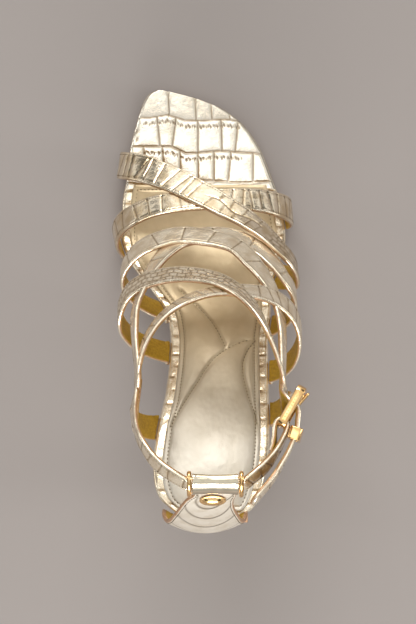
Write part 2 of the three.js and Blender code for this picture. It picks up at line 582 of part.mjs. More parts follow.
// Places evenly spaced on a smooth curve through given places, each with its outward normal and width
function smooth(places, steps) {
  const curve = new THREE.CatmullRomCurve3(places.map((p) => p.point), false, 'centripetal');
  return Array.from({ length: steps + 1 }, (_, i) => {
    const t = i / steps;
    const k = Math.min(Math.floor(t * (places.length - 1)), places.length - 2);
    const part = t * (places.length - 1) - k;
    return {
      point: curve.getPoint(t),
      normal: places[k].normal.clone().lerp(places[k + 1].normal, part).normalize(),
      wide: THREE.MathUtils.lerp(places[k].wide, places[k + 1].wide, part),
    };
  });
}
function strapLine(rows, steps) {
  const curve = new THREE.CatmullRomCurve3(
    rows.map((row) => vector(row.around, row.edge, row.lift)), false, 'centripetal',
  );
  return Array.from({ length: steps + 1 }, (_, i) => {
    const t = i / steps;
    const at = curve.getPoint(t);
    const k = Math.min(Math.floor(t * (rows.length - 1)), rows.length - 2);
    const part = t * (rows.length - 1) - k;
    const normal = formNormal(at.y, at.x);
    const point = formPoint(at.y, at.x).addScaledVector(normal, at.z * (STRAP_THICKNESS - STRAP_BOND));
    return {
      point,
      normal: turned(normal, THREE.MathUtils.lerp(rows[k].upright, rows[k + 1].upright, part)),
      wide: STRAP_WIDTH * THREE.MathUtils.lerp(rows[k].wide, rows[k + 1].wide, part),
    };
  });
}

// A strap's first end runs down the side of the board
const END_RUN = 2;
function fromBoard(line) {
  const end = line[0];
  const { y } = end.point;
  const side = Math.sign(end.point.x);
  const edge = side < 0 ? medialX : lateralX;
  const outward = vector(side, -side * (edge(y + 1) - edge(y - 1)) / 2, 0).normalize();
  const down = vector(0, slopeAt(y), -1).normalize();
  const low = end.point.clone().addScaledVector(down, BOARD_THICKNESS + END_RUN);
  return [{ ...end, point: low, normal: outward }, { ...end, normal: outward }, ...line.slice(1)];
}
const bothEnds = (line) => fromBoard(fromBoard(line).reverse());

function strapSolid(line, thickness = STRAP_THICKNESS) {
  const rings = line.map((here, i) => {
    const before = line[Math.max(i - 1, 0)].point;
    const after = line[Math.min(i + 1, line.length - 1)].point;
    const along = after.clone().sub(before).normalize();
    const across = new THREE.Vector3().crossVectors(along, here.normal).normalize();
    const out = new THREE.Vector3().crossVectors(across, along).normalize();
    const half = here.wide / 2;
    const c = STRAP_CORNER;
    return [
      [-half, c], [-half, thickness - c], [-half + c, thickness], [half - c, thickness],
      [half, thickness - c], [half, c], [half - c, 0], [-half + c, 0],
    ].map(([w, n]) => here.point.clone().addScaledVector(across, w).addScaledVector(out, n));
  });
  return loft(rings);
}

// Place ahead of a line's end, or behind it along the line, moved out and down by strap thicknesses
function beside(line, { ahead = 0, behind = 0, out = 0, down = 0 }) {
  let left = behind;
  let i = line.length - 1;
  while (i > 1 && left > line[i].point.distanceTo(line[i - 1].point)) {
    left -= line[i].point.distanceTo(line[i - 1].point);
    i -= 1;
  }
  const along = line[i].point.clone().sub(line[i - 1].point).normalize();
  const across = new THREE.Vector3().crossVectors(along, line[i].normal).normalize();
  const normal = new THREE.Vector3().crossVectors(across, along).normalize();
  const lower = across.z < 0 ? across : across.clone().negate();
  const point = line[i].point.clone()
    .addScaledVector(along, ahead - left)
    .addScaledVector(normal, out * STRAP_THICKNESS)
    .addScaledVector(lower, down * STRAP_THICKNESS);
  return { point, along, across, normal, wide: line[i].wide };
}

const ankleLine = strapLine(ANKLE, ANKLE_STEPS);
const bar = beside(ankleLine, {});
const barReach = Math.hypot(HINGE_BAR, HINGE_BAR) / 2 + GAP;
const barMiddle = bar.point.clone().addScaledVector(bar.normal, -barReach);

// Fold of the ankle strap round the bar and back along its inner side
const FOLD_TURNS = 8;
function foldLine() {
  const start = { ...bar, point: bar.point.clone().addScaledVector(bar.along, -STRAP_THICKNESS) };
  const turns = Array.from({ length: FOLD_TURNS + 1 }, (_, i) => {
    const angle = Math.PI / 2 - (Math.PI * i) / FOLD_TURNS;
    const normal = bar.along.clone().multiplyScalar(Math.cos(angle))
      .addScaledVector(bar.normal, Math.sin(angle));
    return { ...bar, point: barMiddle.clone().addScaledVector(normal, barReach), normal };
  });
  const leg = FOLD_LEG.map(({ behind, out }) => {
    const place = beside(ankleLine, { behind: behind * STRAP_THICKNESS, out });
    return { ...place, normal: place.normal.clone().negate() };
  });
  return [start, ...turns, ...leg];
}

// Free tail: from the joined straps, through the buckle and the keeper, outside the ankle strap
const TAIL_STEPS = 34;
const mouthRow = ANKLE.findLastIndex((row) => row.edge === -1);
const mouthStep = Math.round((ANKLE_STEPS * mouthRow) / (ANKLE.length - 1));
const mouthRun = ankleLine.slice(mouthStep + 1)
  .reduce((sum, here, i) => sum + here.point.distanceTo(ankleLine[mouthStep + i].point), 0);
const tailPlaces = [
  ...TAIL_IN_BUCKLE.map((row) => beside(ankleLine, { ...row, ahead: row.ahead * BUCKLE_LENGTH })),
  ...TAIL_BEHIND.map((row) => beside(ankleLine, { ...row, behind: row.behind * mouthRun })),
];
tailPlaces.forEach((place) => turned(place.normal, TAIL_UPRIGHT));
const tailLine = smooth(
  [...strapLine(BILLET_FRONT, BILLET_FRONT.length - 1), ...tailPlaces], TAIL_STEPS,
);

// Buckle, prong and keeper, each set in the frame of the bar
function setBy(geometry, middle, along, across, out) {
  geometry.applyMatrix4(new THREE.Matrix4().makeBasis(along, across, out));
  geometry.translate(middle.x, middle.y, middle.z);
  return geometry;
}
function ringSlab(outer, inner, corner, depth) {
  const trace = (path, [x0, x1, y0, y1], r) => {
    path.moveTo(x0 + r, y0);
    path.lineTo(x1 - r, y0).absarc(x1 - r, y0 + r, r, -Math.PI / 2, 0);
    path.lineTo(x1, y1 - r).absarc(x1 - r, y1 - r, r, 0, Math.PI / 2);
    path.lineTo(x0 + r, y1).absarc(x0 + r, y1 - r, r, Math.PI / 2, Math.PI);
    path.lineTo(x0, y0 + r).absarc(x0 + r, y0 + r, r, Math.PI, Math.PI * 1.5);
    return path;
  };
  const shape = trace(new THREE.Shape(), outer, corner);
  shape.holes.push(trace(new THREE.Path(), inner, corner / 3));
  const geometry = new THREE.ExtrudeGeometry(shape, { depth, bevelEnabled: false, curveSegments: 4 });
  return geometry.translate(0, 0, -depth / 2);
}
const tilted = {
  along: bar.along.clone().multiplyScalar(Math.cos(BUCKLE_TILT))
    .addScaledVector(bar.normal, Math.sin(BUCKLE_TILT)),
  out: bar.normal.clone().multiplyScalar(Math.cos(BUCKLE_TILT))
    .addScaledVector(bar.along, -Math.sin(BUCKLE_TILT)),
};
const upright = new THREE.Vector3().crossVectors(tilted.out, tilted.along);
const farBar = BUCKLE_LENGTH - HINGE_BAR / 2 - BUCKLE_BAR / 2;
const bigger = ([x0, x1, y0, y1], by) => [x0 - by, x1 + by, y0 - by, y1 + by];
function buckleFrame(grow = 0) {
  const half = BUCKLE_HEIGHT / 2;
  const outer = [-HINGE_BAR / 2, farBar + BUCKLE_BAR / 2, -half, half];
  const inner = [HINGE_BAR / 2, farBar - BUCKLE_BAR / 2, BUCKLE_BAR - half, half - BUCKLE_BAR];
  const slab = ringSlab(bigger(outer, grow), bigger(inner, -grow), BUCKLE_CORNER, BUCKLE_DEPTH + 2 * grow);
  const room = [HINGE_BAR + 2 * (grow + GAP), BUCKLE_HEIGHT - 2 * (BUCKLE_BAR + grow), BUCKLE_DEPTH];
  const away = HINGE_BAR / 2 + grow + BUCKLE_DEPTH / 2;
  const frame = [-away, away].reduce(
    (left, z) => left.subtract(wasm.Manifold.cube(room, true).translate([0, 0, z])), solid(slab),
  );
  return setBy(geometryOf(frame), barMiddle, tilted.along, upright, tilted.out);
}
piece('buckle_frame', buckleFrame(), GOLD_METAL);

const PRONG_SIDES = 10;
const prongRoot = barMiddle.clone().addScaledVector(tilted.along, HINGE_BAR / 2 + GAP + PRONG_RADIUS);
const prongTip = barMiddle.clone().addScaledVector(tilted.along, farBar)
  .addScaledVector(tilted.out, BUCKLE_DEPTH / 2 + 2 * GAP + PRONG_RADIUS);
function prongRod(radius) {
  const rod = prongTip.clone().sub(prongRoot);
  const geometry = new THREE.CylinderGeometry(radius, radius, rod.length(), PRONG_SIDES);
  geometry.translate(0, rod.length() / 2, 0);
  const turn = new THREE.Quaternion().setFromUnitVectors(vector(0, 1, 0), rod.normalize());
  geometry.applyQuaternion(turn);
  return geometry.translate(prongRoot.x, prongRoot.y, prongRoot.z);
}
piece('buckle_prong', prongRod(PRONG_RADIUS), GOLD_METAL);

const keeperPlace = beside(ankleLine, { behind: KEEPER_BACK });
const keeperIn = STRAP_THICKNESS + KEEPER_STAND + KEEPER_WALL;
const keeperOut = keeperIn + STRAP_THICKNESS + 2 * KEEPER_PLAY;
const keeperHalf = keeperPlace.wide / 2 + KEEPER_PLAY;
const keeperAlong = new THREE.Vector3().crossVectors(keeperPlace.normal, keeperPlace.across);
function keeperLoop(grow = 0) {
  const inner = [keeperIn, keeperOut, -keeperHalf, keeperHalf];
  const outer = bigger(inner, KEEPER_WALL + grow);
  const slab = ringSlab(outer, bigger(inner, -grow), KEEPER_WALL, KEEPER_LENGTH + 2 * grow);
  return setBy(slab, keeperPlace.point, keeperPlace.normal, keeperPlace.across, keeperAlong);
}
piece('keeper', keeperLoop(), GOLD_METAL);

// Straps, trimmed under the board and kept clear of its side
function underBoard() {
  const SIDE_ROOM = 20;
  const DEPTH = 40;
  return solid(loft(boardStations.map((y) => {
    const [m, l, low] = [medialX(y) - SIDE_ROOM, lateralX(y) + SIDE_ROOM, boardBottom(y)];
    return [[m, low], [l, low], [l, low - DEPTH], [m, low - DEPTH]].map(([x, z]) => vector(x, y, z));
  })));
}
function joined(straps) {
  return straps.map(([line, thickness]) => solid(strapSolid(line, thickness)))
    .reduce((all, next) => all.add(next))
    .subtract(boardRoom()).subtract(underBoard());
}
const vampStraps = joined([
  [bothEnds(strapLine(VAMP_OVER, STRAP_STEPS))],
  [bothEnds(strapLine(VAMP_UNDER, STRAP_STEPS))],
]);
piece('vamp_straps', geometryOf(vampStraps), GOLD_LEATHER);

const instepStraps = joined([
  [fromBoard(strapLine(MIDDLE_OVER, LONG_STRAP_STEPS))],
  [fromBoard(strapLine(MIDDLE_UNDER, LONG_STRAP_STEPS))],
  [fromBoard(strapLine(REAR_OVER, LONG_STRAP_STEPS))],
  [fromBoard(ankleLine)],
  [fromBoard(strapLine(MEDIAL_QUARTER, STRAP_STEPS))],
  [fromBoard(strapLine(LATERAL_QUARTER, STRAP_STEPS))],
  [foldLine(), FOLD_THICKNESS],
  [tailLine],
]).subtract(solid(prongRod(PRONG_RADIUS + PRONG_PLAY)))
  .subtract(solid(buckleFrame(GAP))).subtract(solid(keeperLoop(GAP)));
piece('instep_straps', geometryOf(instepStraps), GOLD_LEATHER);

// Heel tab with the strap tunnel rolled at its top
const TAB_STEPS = 14;
const TAB_SIDES = 4;
function tabRing(up) {
  const sides = Array.from({ length: 2 * TAB_SIDES + 1 }, (_, i) => (i - TAB_SIDES) / TAB_SIDES);
  const outer = sides.map((side) => tabPoint(up, side));
  const inner = sides.map((side) => tabPoint(up, side).addScaledVector(tabNormal(up, side), -TAB_THICKNESS));
  return [...outer, ...inner.reverse()];
}
const tunnelStrap = { point: formPoint(-1, -1 - BACK_SPAN), normal: formNormal(-1, -1 - BACK_SPAN) };
const tunnelMiddle = tunnelStrap.point.clone().addScaledVector(tunnelStrap.normal, STRAP_THICKNESS / 2);
const tunnelUp = new THREE.Vector3().crossVectors(tunnelStrap.normal, vector(1, 0, 0)).normalize();
const OVAL_SIDES = 20;
function oval(x, wide, deep) {
  return Array.from({ length: OVAL_SIDES }, (_, i) => {
    const angle = (2 * Math.PI * i) / OVAL_SIDES;
    return tunnelMiddle.clone().setX(x)
      .addScaledVector(tunnelUp, (wide / 2) * Math.cos(angle))
      .addScaledVector(tunnelStrap.normal, (deep / 2) * Math.sin(angle));
  });
}
const TUNNEL_STATIONS = [-1, -0.5, 0, 0.5, 1];
const TUNNEL_WAIST = 0.1;
const tunnelX = (share) => TUNNEL_SHIFT + (share * TUNNEL_LENGTH) / 2;
const waist = (share) => 1 - TUNNEL_WAIST * (1 - share * share);
const tunnelBody = solid(loft(
  TUNNEL_STATIONS.map((share) => oval(tunnelX(share), TUNNEL_WIDE * waist(share), TUNNEL_DEEP * waist(share))),
));
const holeWide = TUNNEL_WIDE - 2 * TUNNEL_WALL;
const holeDeep = TUNNEL_DEEP - 2 * TUNNEL_WALL;
const HOLE_REACH = 2;
const tunnelHole = solid(loft([-HOLE_REACH, HOLE_REACH].map((share) => oval(tunnelX(share), holeWide, holeDeep))));
const TAB_TOP = 0.96;
const tabRows = Array.from(
  { length: TAB_STEPS + 1 }, (_, i) => THREE.MathUtils.lerp(TAB[0].up, TAB_TOP, i / TAB_STEPS),
);
const heelTab = solid(loft(tabRows.map(tabRing)))
  .add(tunnelBody).subtract(tunnelHole).subtract(boardRoom());
piece('heel_tab', geometryOf(heelTab), GOLD_LEATHER);

// Gold rings round the strap at both ends of the tunnel
const RING_STATIONS = 6;
const RING_OVER_WIDE = 0.4;
const RING_OVER_DEEP = 0.6;
function tunnelRing(side) {
  const middle = TUNNEL_SHIFT + side * (TUNNEL_LENGTH / 2 + GAP + RING_WIRE / 2);
  const rings = Array.from({ length: RING_STATIONS }, (_, i) => {
    const angle = (2 * Math.PI * i) / RING_STATIONS;
    const grow = RING_WIRE * Math.cos(angle);
    return oval(
      middle + (RING_WIRE / 2) * Math.sin(angle),
      TUNNEL_WIDE + RING_OVER_WIDE + grow, TUNNEL_DEEP + RING_OVER_DEEP + grow,
    );
  });
  return loft(rings, { joinEnds: true });
}
piece('tunnel_ring_medial', tunnelRing(-1), GOLD_METAL);
piece('tunnel_ring_lateral', tunnelRing(1), GOLD_METAL);

// Plain oval stud on the tab below the tunnel
const STUD_UP = 0.83;
const STUD_SIDES = 20;
const studProfile = [[0, 0], [1, 0], [1, 0.35], [0.8, 0.8], [0.45, 0.97], [0, 1]];
const studAt = tabPoint(STUD_UP, 0);
const studOut = tabNormal(STUD_UP, 0);
const dome = new THREE.LatheGeometry(
  studProfile.map(([r, h]) => new THREE.Vector2(r / 2, h * STUD_HEIGHT)), STUD_SIDES,
);
dome.scale(STUD_WIDE, 1, STUD_TALL);
dome.applyQuaternion(new THREE.Quaternion().setFromUnitVectors(vector(0, 1, 0), studOut));
studAt.addScaledVector(studOut, GAP);
dome.translate(studAt.x, studAt.y, studAt.z);
piece('tab_stud', geometryOf(solid(dome)), GOLD_METAL);

// Origin at the middle of the whole shoe's box, on the ground
const box = new THREE.Box3().setFromObject(group, true);
const middle = box.getCenter(vector(0, 0, 0));
group.children.forEach((mesh) => mesh.geometry.translate(-middle.x, -middle.y, -box.min.z));

export default group;
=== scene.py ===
"""Looks of a high-heeled strappy sandal, right shoe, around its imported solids.

The form is worked out in millimetres of the shoe's own plan (y from the back of the board toward the
toe, x from its middle line to the lateral side), and to_row() brings it into the row's frame in metres.
"""

import math

import bpy
import numpy as np
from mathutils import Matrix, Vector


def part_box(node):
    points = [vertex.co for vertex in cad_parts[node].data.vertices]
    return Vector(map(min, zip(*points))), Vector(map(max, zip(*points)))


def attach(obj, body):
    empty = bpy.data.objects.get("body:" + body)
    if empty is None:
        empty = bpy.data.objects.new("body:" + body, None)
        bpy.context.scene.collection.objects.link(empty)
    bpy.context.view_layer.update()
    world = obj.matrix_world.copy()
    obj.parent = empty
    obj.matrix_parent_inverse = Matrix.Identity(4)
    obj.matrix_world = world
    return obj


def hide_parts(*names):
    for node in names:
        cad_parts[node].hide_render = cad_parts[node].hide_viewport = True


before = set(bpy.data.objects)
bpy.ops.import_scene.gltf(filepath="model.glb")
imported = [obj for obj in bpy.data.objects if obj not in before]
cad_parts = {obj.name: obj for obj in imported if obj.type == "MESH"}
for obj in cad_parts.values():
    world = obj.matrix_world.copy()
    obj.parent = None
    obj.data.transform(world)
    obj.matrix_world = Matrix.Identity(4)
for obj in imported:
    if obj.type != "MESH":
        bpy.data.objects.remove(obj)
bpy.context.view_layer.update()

# Sizes of the solids, in millimetres
LENGTH, BALL, RISE = 220.0, 87.0, 88.0
BOARD, BEVEL, OUTSOLE, GAP = 4.0, 1.1, 2.8, 0.3
INSTEP, STRAP, THICK, BOND = 158.0, 12.4, 2.2, 0.35
TAB_HEIGHT, TAB_THICK, TAB_LEAN, WRAP_BASE, WRAP_TOP, TAB_TOP = 69.0, 2.0, 25.0, 0.37, 0.045, 0.96
SHIFT, TUNNEL, TUNNEL_WIDE, TUNNEL_DEEP, TUNNEL_WALL = 3.4, 21.6, 13.4, 7.0, 1.0
RING, RING_OVER_WIDE, RING_OVER_DEEP = 2.2, 0.4, 0.6
STUD_UP = 0.83
BUCKLE_LENGTH, BUCKLE_HEIGHT, BUCKLE_BAR, BUCKLE_DEPTH, BUCKLE_CORNER = 21.5, 19.0, 3.0, 4.4, 3.5
HINGE, TILT, PRONG = 2.2, 0.2, 0.9
KEEPER_LENGTH, KEEPER_WALL, KEEPER_STAND, KEEPER_PLAY, KEEPER_BACK = 6.0, 1.6, 0.3, 0.35, 2.0
KEEPER_CORNER = 1.6
HEEL_BREAST, HEEL_INSET, TIP = 0.235, 1.4, 6.0
SOCK_FRONT, SOCK_BACK, SOCK_INSET, SOCK_THICK = 0.775, 5.0, 4.6, 1.6
BALL_TOP = OUTSOLE + GAP + BOARD
SEAT = BALL_TOP + RISE


def table(names, *rows):
    return dict(zip(names.split(), np.array(rows, float).T))


OUTLINE = table(
    "along medial lateral",
    (0, -0.07, 0.08), (0.012, -0.145, 0.18), (0.03, -0.215, 0.255), (0.055, -0.28, 0.292),
    (0.09, -0.308, 0.318), (0.13, -0.314, 0.343), (0.2, -0.294, 0.356), (0.29, -0.245, 0.354),
    (0.4, -0.221, 0.354), (0.46, -0.24, 0.373), (0.52, -0.335, 0.38), (0.59, -0.469, 0.435),
    (0.65, -0.525, 0.47), (0.73, -0.519, 0.44), (0.8, -0.49, 0.38), (0.86, -0.473, 0.318),
    (0.92, -0.435, 0.211), (0.955, -0.408, 0.095), (0.98, -0.38, -0.055), (0.993, -0.352, -0.18),
    (1, -0.31, -0.265),
)
PROFILE = table(
    "along up",
    (0, 1), (0.1, 0.915), (0.2, 0.79), (0.3, 0.605), (0.4, 0.405), (0.5, 0.215), (0.6, 0.065),
    (0.67, 0), (0.78, 0), (0.88, 0.014), (1, 0.052),
)
HEEL = table(
    "up wide deep back",
    (0, 0.46, 0.46, 0.15), (0.25, 0.46, 0.47, 0.14), (0.5, 0.5, 0.53, 0.12), (0.7, 0.6, 0.64, 0.09),
    (0.86, 0.77, 0.81, 0.045), (1, 1, 1, 0),
)
TAB = table(
    "up back half shift",
    (-0.07, -0.12, 1, -0.45), (0, -0.15, 1, -0.45), (0.12, -0.19, 0.95, -0.42), (0.3, -0.1, 0.86, -0.38),
    (0.5, 0.1, 0.75, -0.3), (0.7, 0.37, 0.6, -0.15), (0.79, 0.53, 0.53, 0.2), (0.87, 0.69, 0.465, 1),
    (1, 1, 0.46, 1),
)
FORM = table(
    "edge over up medial lateral",
    (-1, 0.41, 1, 0.37, 0.385), (-0.5, 0.428, 0.94, 0.378, 0.402), (0, 0.45, 0.88, 0.388, 0.42),
    (0.1, 0.47, 0.805, 0.405, 0.435), (0.2, 0.5, 0.71, 0.44, 0.457), (0.3, 0.535, 0.605, 0.475, 0.485),
    (0.4, 0.578, 0.505, 0.48, 0.485), (0.5, 0.627, 0.405, 0.48, 0.47), (0.6, 0.682, 0.315, 0.5, 0.46),
    (0.7, 0.742, 0.245, 0.52, 0.455), (0.8, 0.81, 0.18, 0.49, 0.4), (0.9, 0.89, 0.125, 0.455, 0.27),
)
# Strap centre lines: around the form, its ring's edge, lift in thicknesses, share of the strap width, and
# how far the face is turned from the form's to a vertical one
STRAPS = {
    "vamp_over": (
        (-1, 0.822, 0, 1.12, 0), (-0.655, 0.816, 0.1, 1.15, 0), (-0.395, 0.803, 0.4, 1.18, 0),
        (-0.26, 0.785, 0.6, 1.2, 0), (-0.095, 0.737, 0.9, 1.2, 0), (-0.02, 0.697, 1, 1.18, 0),
        (0.055, 0.653, 1, 1.14, 0), (0.145, 0.608, 1.1, 1.1, 0), (0.215, 0.569, 1.3, 1.08, 0),
        (0.35, 0.51, 1.5, 1.05, 0), (0.55, 0.495, 1.4, 1.05, 0), (0.8, 0.53, 0.5, 1.05, 0),
        (1, 0.56, 0, 1.05, 0),
    ),
    "vamp_under": (
        (-1, 0.63, 0, 1, 0), (-0.725, 0.632, 0, 1, 0), (-0.49, 0.642, 0, 1, 0), (-0.37, 0.648, 0, 1, 0),
        (-0.255, 0.661, 0, 1, 0), (-0.1, 0.673, 0, 1, 0), (0.08, 0.683, 0, 1.04, 0),
        (0.205, 0.687, 0, 1.08, 0), (0.44, 0.688, 0, 1.1, 0), (1, 0.7, 0, 1.1, 0),
    ),
    "middle_over": (
        (-1, 0.475, 0, 1, 0), (-0.6, 0.48, 0.3, 1, 0), (-0.45, 0.488, 0.6, 1, 0), (-0.25, 0.512, 1, 1, 0),
        (-0.1, 0.522, 1, 1, 0), (0.05, 0.488, 1, 1, 0), (0.165, 0.4, 0.6, 0.97, 0.2),
        (0.3, 0.285, 0, 0.95, 0.6), (0.395, 0.18, 0, 0.92, 0.8), (0.445, 0, 0, 0.9, 0.8),
        (0.47, -0.3, 0, 0.88, 0.8), (0.485, -0.6, 0, 0.88, 0.8),
    ),
    "middle_under": (
        (1, 0.44, 0, 1, 0), (0.7, 0.425, 0, 1, 0), (0.4, 0.42, 0, 1, 0), (0.3, 0.45, 0, 1, 0),
        (0.2, 0.495, 0, 1, 0), (0.1, 0.525, 0, 1, 0), (0, 0.53, 0, 1, 0), (-0.1, 0.515, 0, 1, 0.1),
        (-0.19, 0.455, 0, 0.97, 0.5), (-0.255, 0.385, 0, 0.95, 0.85), (-0.32, 0.31, 0, 0.93, 1),
        (-0.38, 0.24, 0, 0.9, 1), (-0.435, 0.14, 0, 0.9, 1), (-0.475, -0.1, 0, 0.88, 1),
    ),
    "rear_over": (
        (-1, 0.379, 0, 1, 0), (-0.7, 0.357, 0.5, 1, 0), (-0.5, 0.348, 1, 1, 0), (-0.38, 0.36, 1, 1, 0),
        (-0.2, 0.348, 1, 1, 0), (-0.1, 0.333, 1, 1, 0), (0, 0.298, 1, 1, 0.1),
        (0.09, 0.235, 1, 0.97, 0.5), (0.2, 0.148, 0.8, 0.95, 0.85), (0.27, 0.09, 0.7, 0.94, 0.95),
        (0.345, 0.03, 0.7, 0.92, 0.95), (0.41, -0.08, 0.8, 0.9, 0.95), (0.46, -0.33, 0.9, 0.88, 0.9),
        (0.485, -0.6, 0.6, 0.88, 0.9),
    ),
    "ankle": (
        (1, 0.335, 0, 1, 0), (0.75, 0.305, 0.5, 1, 0), (0.56, 0.293, 1.1, 1, 0), (0.42, 0.288, 1.4, 1, 0),
        (0.3, 0.281, 1.2, 1, 0), (0.2, 0.271, 0.7, 1, 0.1), (0.1, 0.256, 0.1, 0.98, 0.2),
        (0, 0.232, 0, 0.96, 0.4), (-0.13, 0.178, 0, 0.94, 0.5), (-0.26, 0.142, 0, 0.92, 0.5),
        (-0.4, 0.105, 0, 0.9, 0.5), (-0.46, 0.03, 0.3, 0.88, 0.5), (-0.5, -0.2, 0.6, 0.88, 0.3),
        (-0.6, -0.6, 0.2, 0.88, 0.1), (-0.72, -0.85, 0, 0.87, 0), (-0.86, -0.95, 0, 0.82, 0),
        (-0.97, -1, 0, 0.71, 0), (-1.2, -1, 0, 0.71, 0), (-1.43, -1, 0, 0.71, 0),
        (-1.54, -0.96, 0.1, 0.82, 0), (-1.67, -0.92, 0.8, 0.87, 0.3), (-1.775, -0.88, 1.5, 0.88, 0.5),
    ),
    "medial_quarter": (
        (-1, 0.21, 0, 1, 0), (-0.8, 0.15, 0, 0.97, 0), (-0.62, 0.06, 0, 0.94, 0),
        (-0.5, -0.03, 0, 0.9, 0.3), (-0.43, -0.15, 0, 0.88, 0.5),
    ),
    "lateral_quarter": (
        (1, 0.24, 0, 1, 0), (0.8, 0.2, 0, 0.97, 0), (0.65, 0.11, 0, 0.94, 0.2), (0.56, 0, 0, 0.92, 0.5),
        (0.5, -0.2, 0, 0.9, 0.6), (0.47, -0.45, 0, 0.88, 0.7),
    ),
    "billet": (
        (0.45, -0.3, 0.45, 0.88, 0.7), (0.47, -0.6, 0.45, 0.88, 0.7), (0.5, -0.8, 0.45, 0.88, 0.7),
    ),
}
# Fold: behind the buckle's bar and out from the strap's inner face, in thicknesses
FOLD_LEG = ((1.2, -1.55), (2.8, -1), (4.4, -0.4), (6, 0.15))
# Tail: ahead of the bar as a share of the buckle's length, then behind it as a share of the run from the
# tunnel's mouth; out and down in thicknesses
TAIL_IN_BUCKLE = ((0.43, 0.75, 0), (0.18, 1.6, 0))
TAIL_BEHIND = (
    (0.035, 1.98, 0), (0.18, 2, 0.1), (0.34, 2.1, 0.4), (0.52, 2.2, 0.8), (0.68, 2.4, 1.1),
    (0.84, 2.8, 1.3), (1, 3.4, 1.6), (1.16, 4.5, 2),
)
TAIL_UPRIGHT = 0.6


def curve(rows, x, y):
    """Smooth curve through two columns that never overshoots."""
    xs, ys = rows[x], rows[y]
    step = np.diff(xs)
    slope = np.diff(ys) / step
    tangent = np.concatenate([slope[:1], np.zeros(len(xs) - 2), slope[-1:]])
    for i in range(1, len(xs) - 1):
        if slope[i - 1] * slope[i] > 0:
            tangent[i] = 2 * slope[i - 1] * slope[i] / (slope[i - 1] + slope[i])

    def at(value):
        a = np.clip(value, xs[0], xs[-1])
        i = np.clip(np.searchsorted(xs, a, side="right") - 1, 0, len(xs) - 2)
        t = (a - xs[i]) / step[i]
        low = (1 + 2 * t) * (1 - t) ** 2 * ys[i] + t * (1 - t) ** 2 * step[i] * tangent[i]
        return low + t * t * (3 - 2 * t) * ys[i + 1] + t * t * (t - 1) * step[i] * tangent[i + 1]

    return at


medial_share, lateral_share = (curve(OUTLINE, "along", key) for key in ("medial", "lateral"))
rise_share = curve(PROFILE, "along", "up")
tab_back, tab_half, tab_shift = (curve(TAB, "up", key) for key in ("back", "half", "shift"))
form_over, form_up, form_medial, form_lateral = (
    curve(FORM, "edge", key) for key in ("over", "up", "medial", "lateral")
)


def medial_x(y):
    return BALL * medial_share(y / LENGTH)


def lateral_x(y):
    return BALL * lateral_share(y / LENGTH)


def board_top(y):
    return BALL_TOP + RISE * rise_share(y / LENGTH)


def board_slope(y):
    return (board_top(y + 1) - board_top(y - 1)) / 2


def stretch(y):
    """Upright height of a slanted layer that is one thick."""
    return np.hypot(1, board_slope(y))


def board_bottom(y):
    return board_top(y) - BOARD * stretch(y)


def stack(*parts):
    return np.stack(np.broadcast_arrays(*parts), -1)


def unit(v):
    return v / np.linalg.norm(v, axis=-1, keepdims=True)


def bell(distance, width):
    return np.exp(-((distance / width) ** 2))


def faded(value, start, length):
    """0 up to the start, then rising to 1 over that length."""
    return np.clip((value - start) / length, 0, 1)


def rounding(inset, r):
    """How far an edge rounded to that radius has dropped, that far in from its end."""
    return r - np.sqrt(np.clip(r * r - np.clip(r - inset, 0, r) ** 2, 0, None))


def run_along(points):
    """Distance of each place from the first, along the line."""
    return np.concatenate([[0], np.cumsum(np.linalg.norm(np.diff(points, axis=0), axis=1))])


def taken(values, run, at):
    """Values of a line's places, read at distances along it."""
    if values.ndim == 1:
        return np.interp(at, run, values)
    return np.stack([np.interp(at, run, column) for column in values.T], -1)


def stations(start, end, count):
    """Places from start to end, closer together near both."""
    t = np.linspace(0, 1, count + 1)
    return start + (end - start) * (0.5 * t + 0.25 * (1 - np.cos(np.pi * t)))


# Foot form: a ring for each edge value, closed behind the heel, where around goes past -1 and 1
EDGE_BLEND, TUNNEL_UP, BACK_SPAN, EDGE_PART, HANDLE_PART = 0.05, 0.985, 0.2, 0.166, 0.7425


def edge_point(edge, side):
    y = np.maximum(edge, EDGE_BLEND) * LENGTH
    x = np.where(side < 0, medial_x(y) - GAP, lateral_x(y) + GAP)
    low = stack(x, y, board_top(y) - BEVEL)
    t = np.clip((EDGE_BLEND - edge) / (1 + EDGE_BLEND), 0, None)
    reach = SHIFT + side * (TUNNEL / 2 + RING + 2 * GAP)
    high = stack(reach, TAB_LEAN * tab_back(TUNNEL_UP * t), SEAT + TAB_HEIGHT * TUNNEL_UP * t)
    blend = np.minimum(1, 3 * t)
    return low + (high - low) * stack(np.sin(t * math.pi / 2), blend, blend)


def form_point(edge, around):
    edge, around = np.broadcast_arrays(np.asarray(edge, float), np.asarray(around, float))
    at = np.where(around < -1 - BACK_SPAN, around + (2 + 2 * BACK_SPAN), around)
    side = np.where(at < 0, -1.0, 1.0)
    start = edge_point(edge, side)
    foot = (edge_point(edge, -1.0) + edge_point(edge, 1.0)) / 2
    back = start + (foot - start) * ((np.abs(at) - 1) / BACK_SPAN)[..., None]
    top = stack(foot[..., 0] * 0.5, form_over(edge) * LENGTH, BALL_TOP + form_up(edge) * INSTEP)
    share = np.where(side < 0, form_medial(edge), form_lateral(edge))
    low, high = start + (top - foot) * 0.3, top.copy()
    low[..., 0] = high[..., 0] = side * (share * BALL - EDGE_PART * side * start[..., 0]) / HANDLE_PART
    s = np.abs(at)[..., None]
    t = 1 - s
    arch = start * s**3 + low * 3 * s * s * t + high * 3 * s * t * t + top * t**3
    return np.where((np.abs(at) > 1)[..., None], back, arch)


def form_normal(edge, around):
    d = 0.01
    a = form_point(edge, around + d) - form_point(edge, around - d)
    b = form_point(edge + d, around) - form_point(np.maximum(edge - d, -1), around)
    return unit(np.cross(a, b))


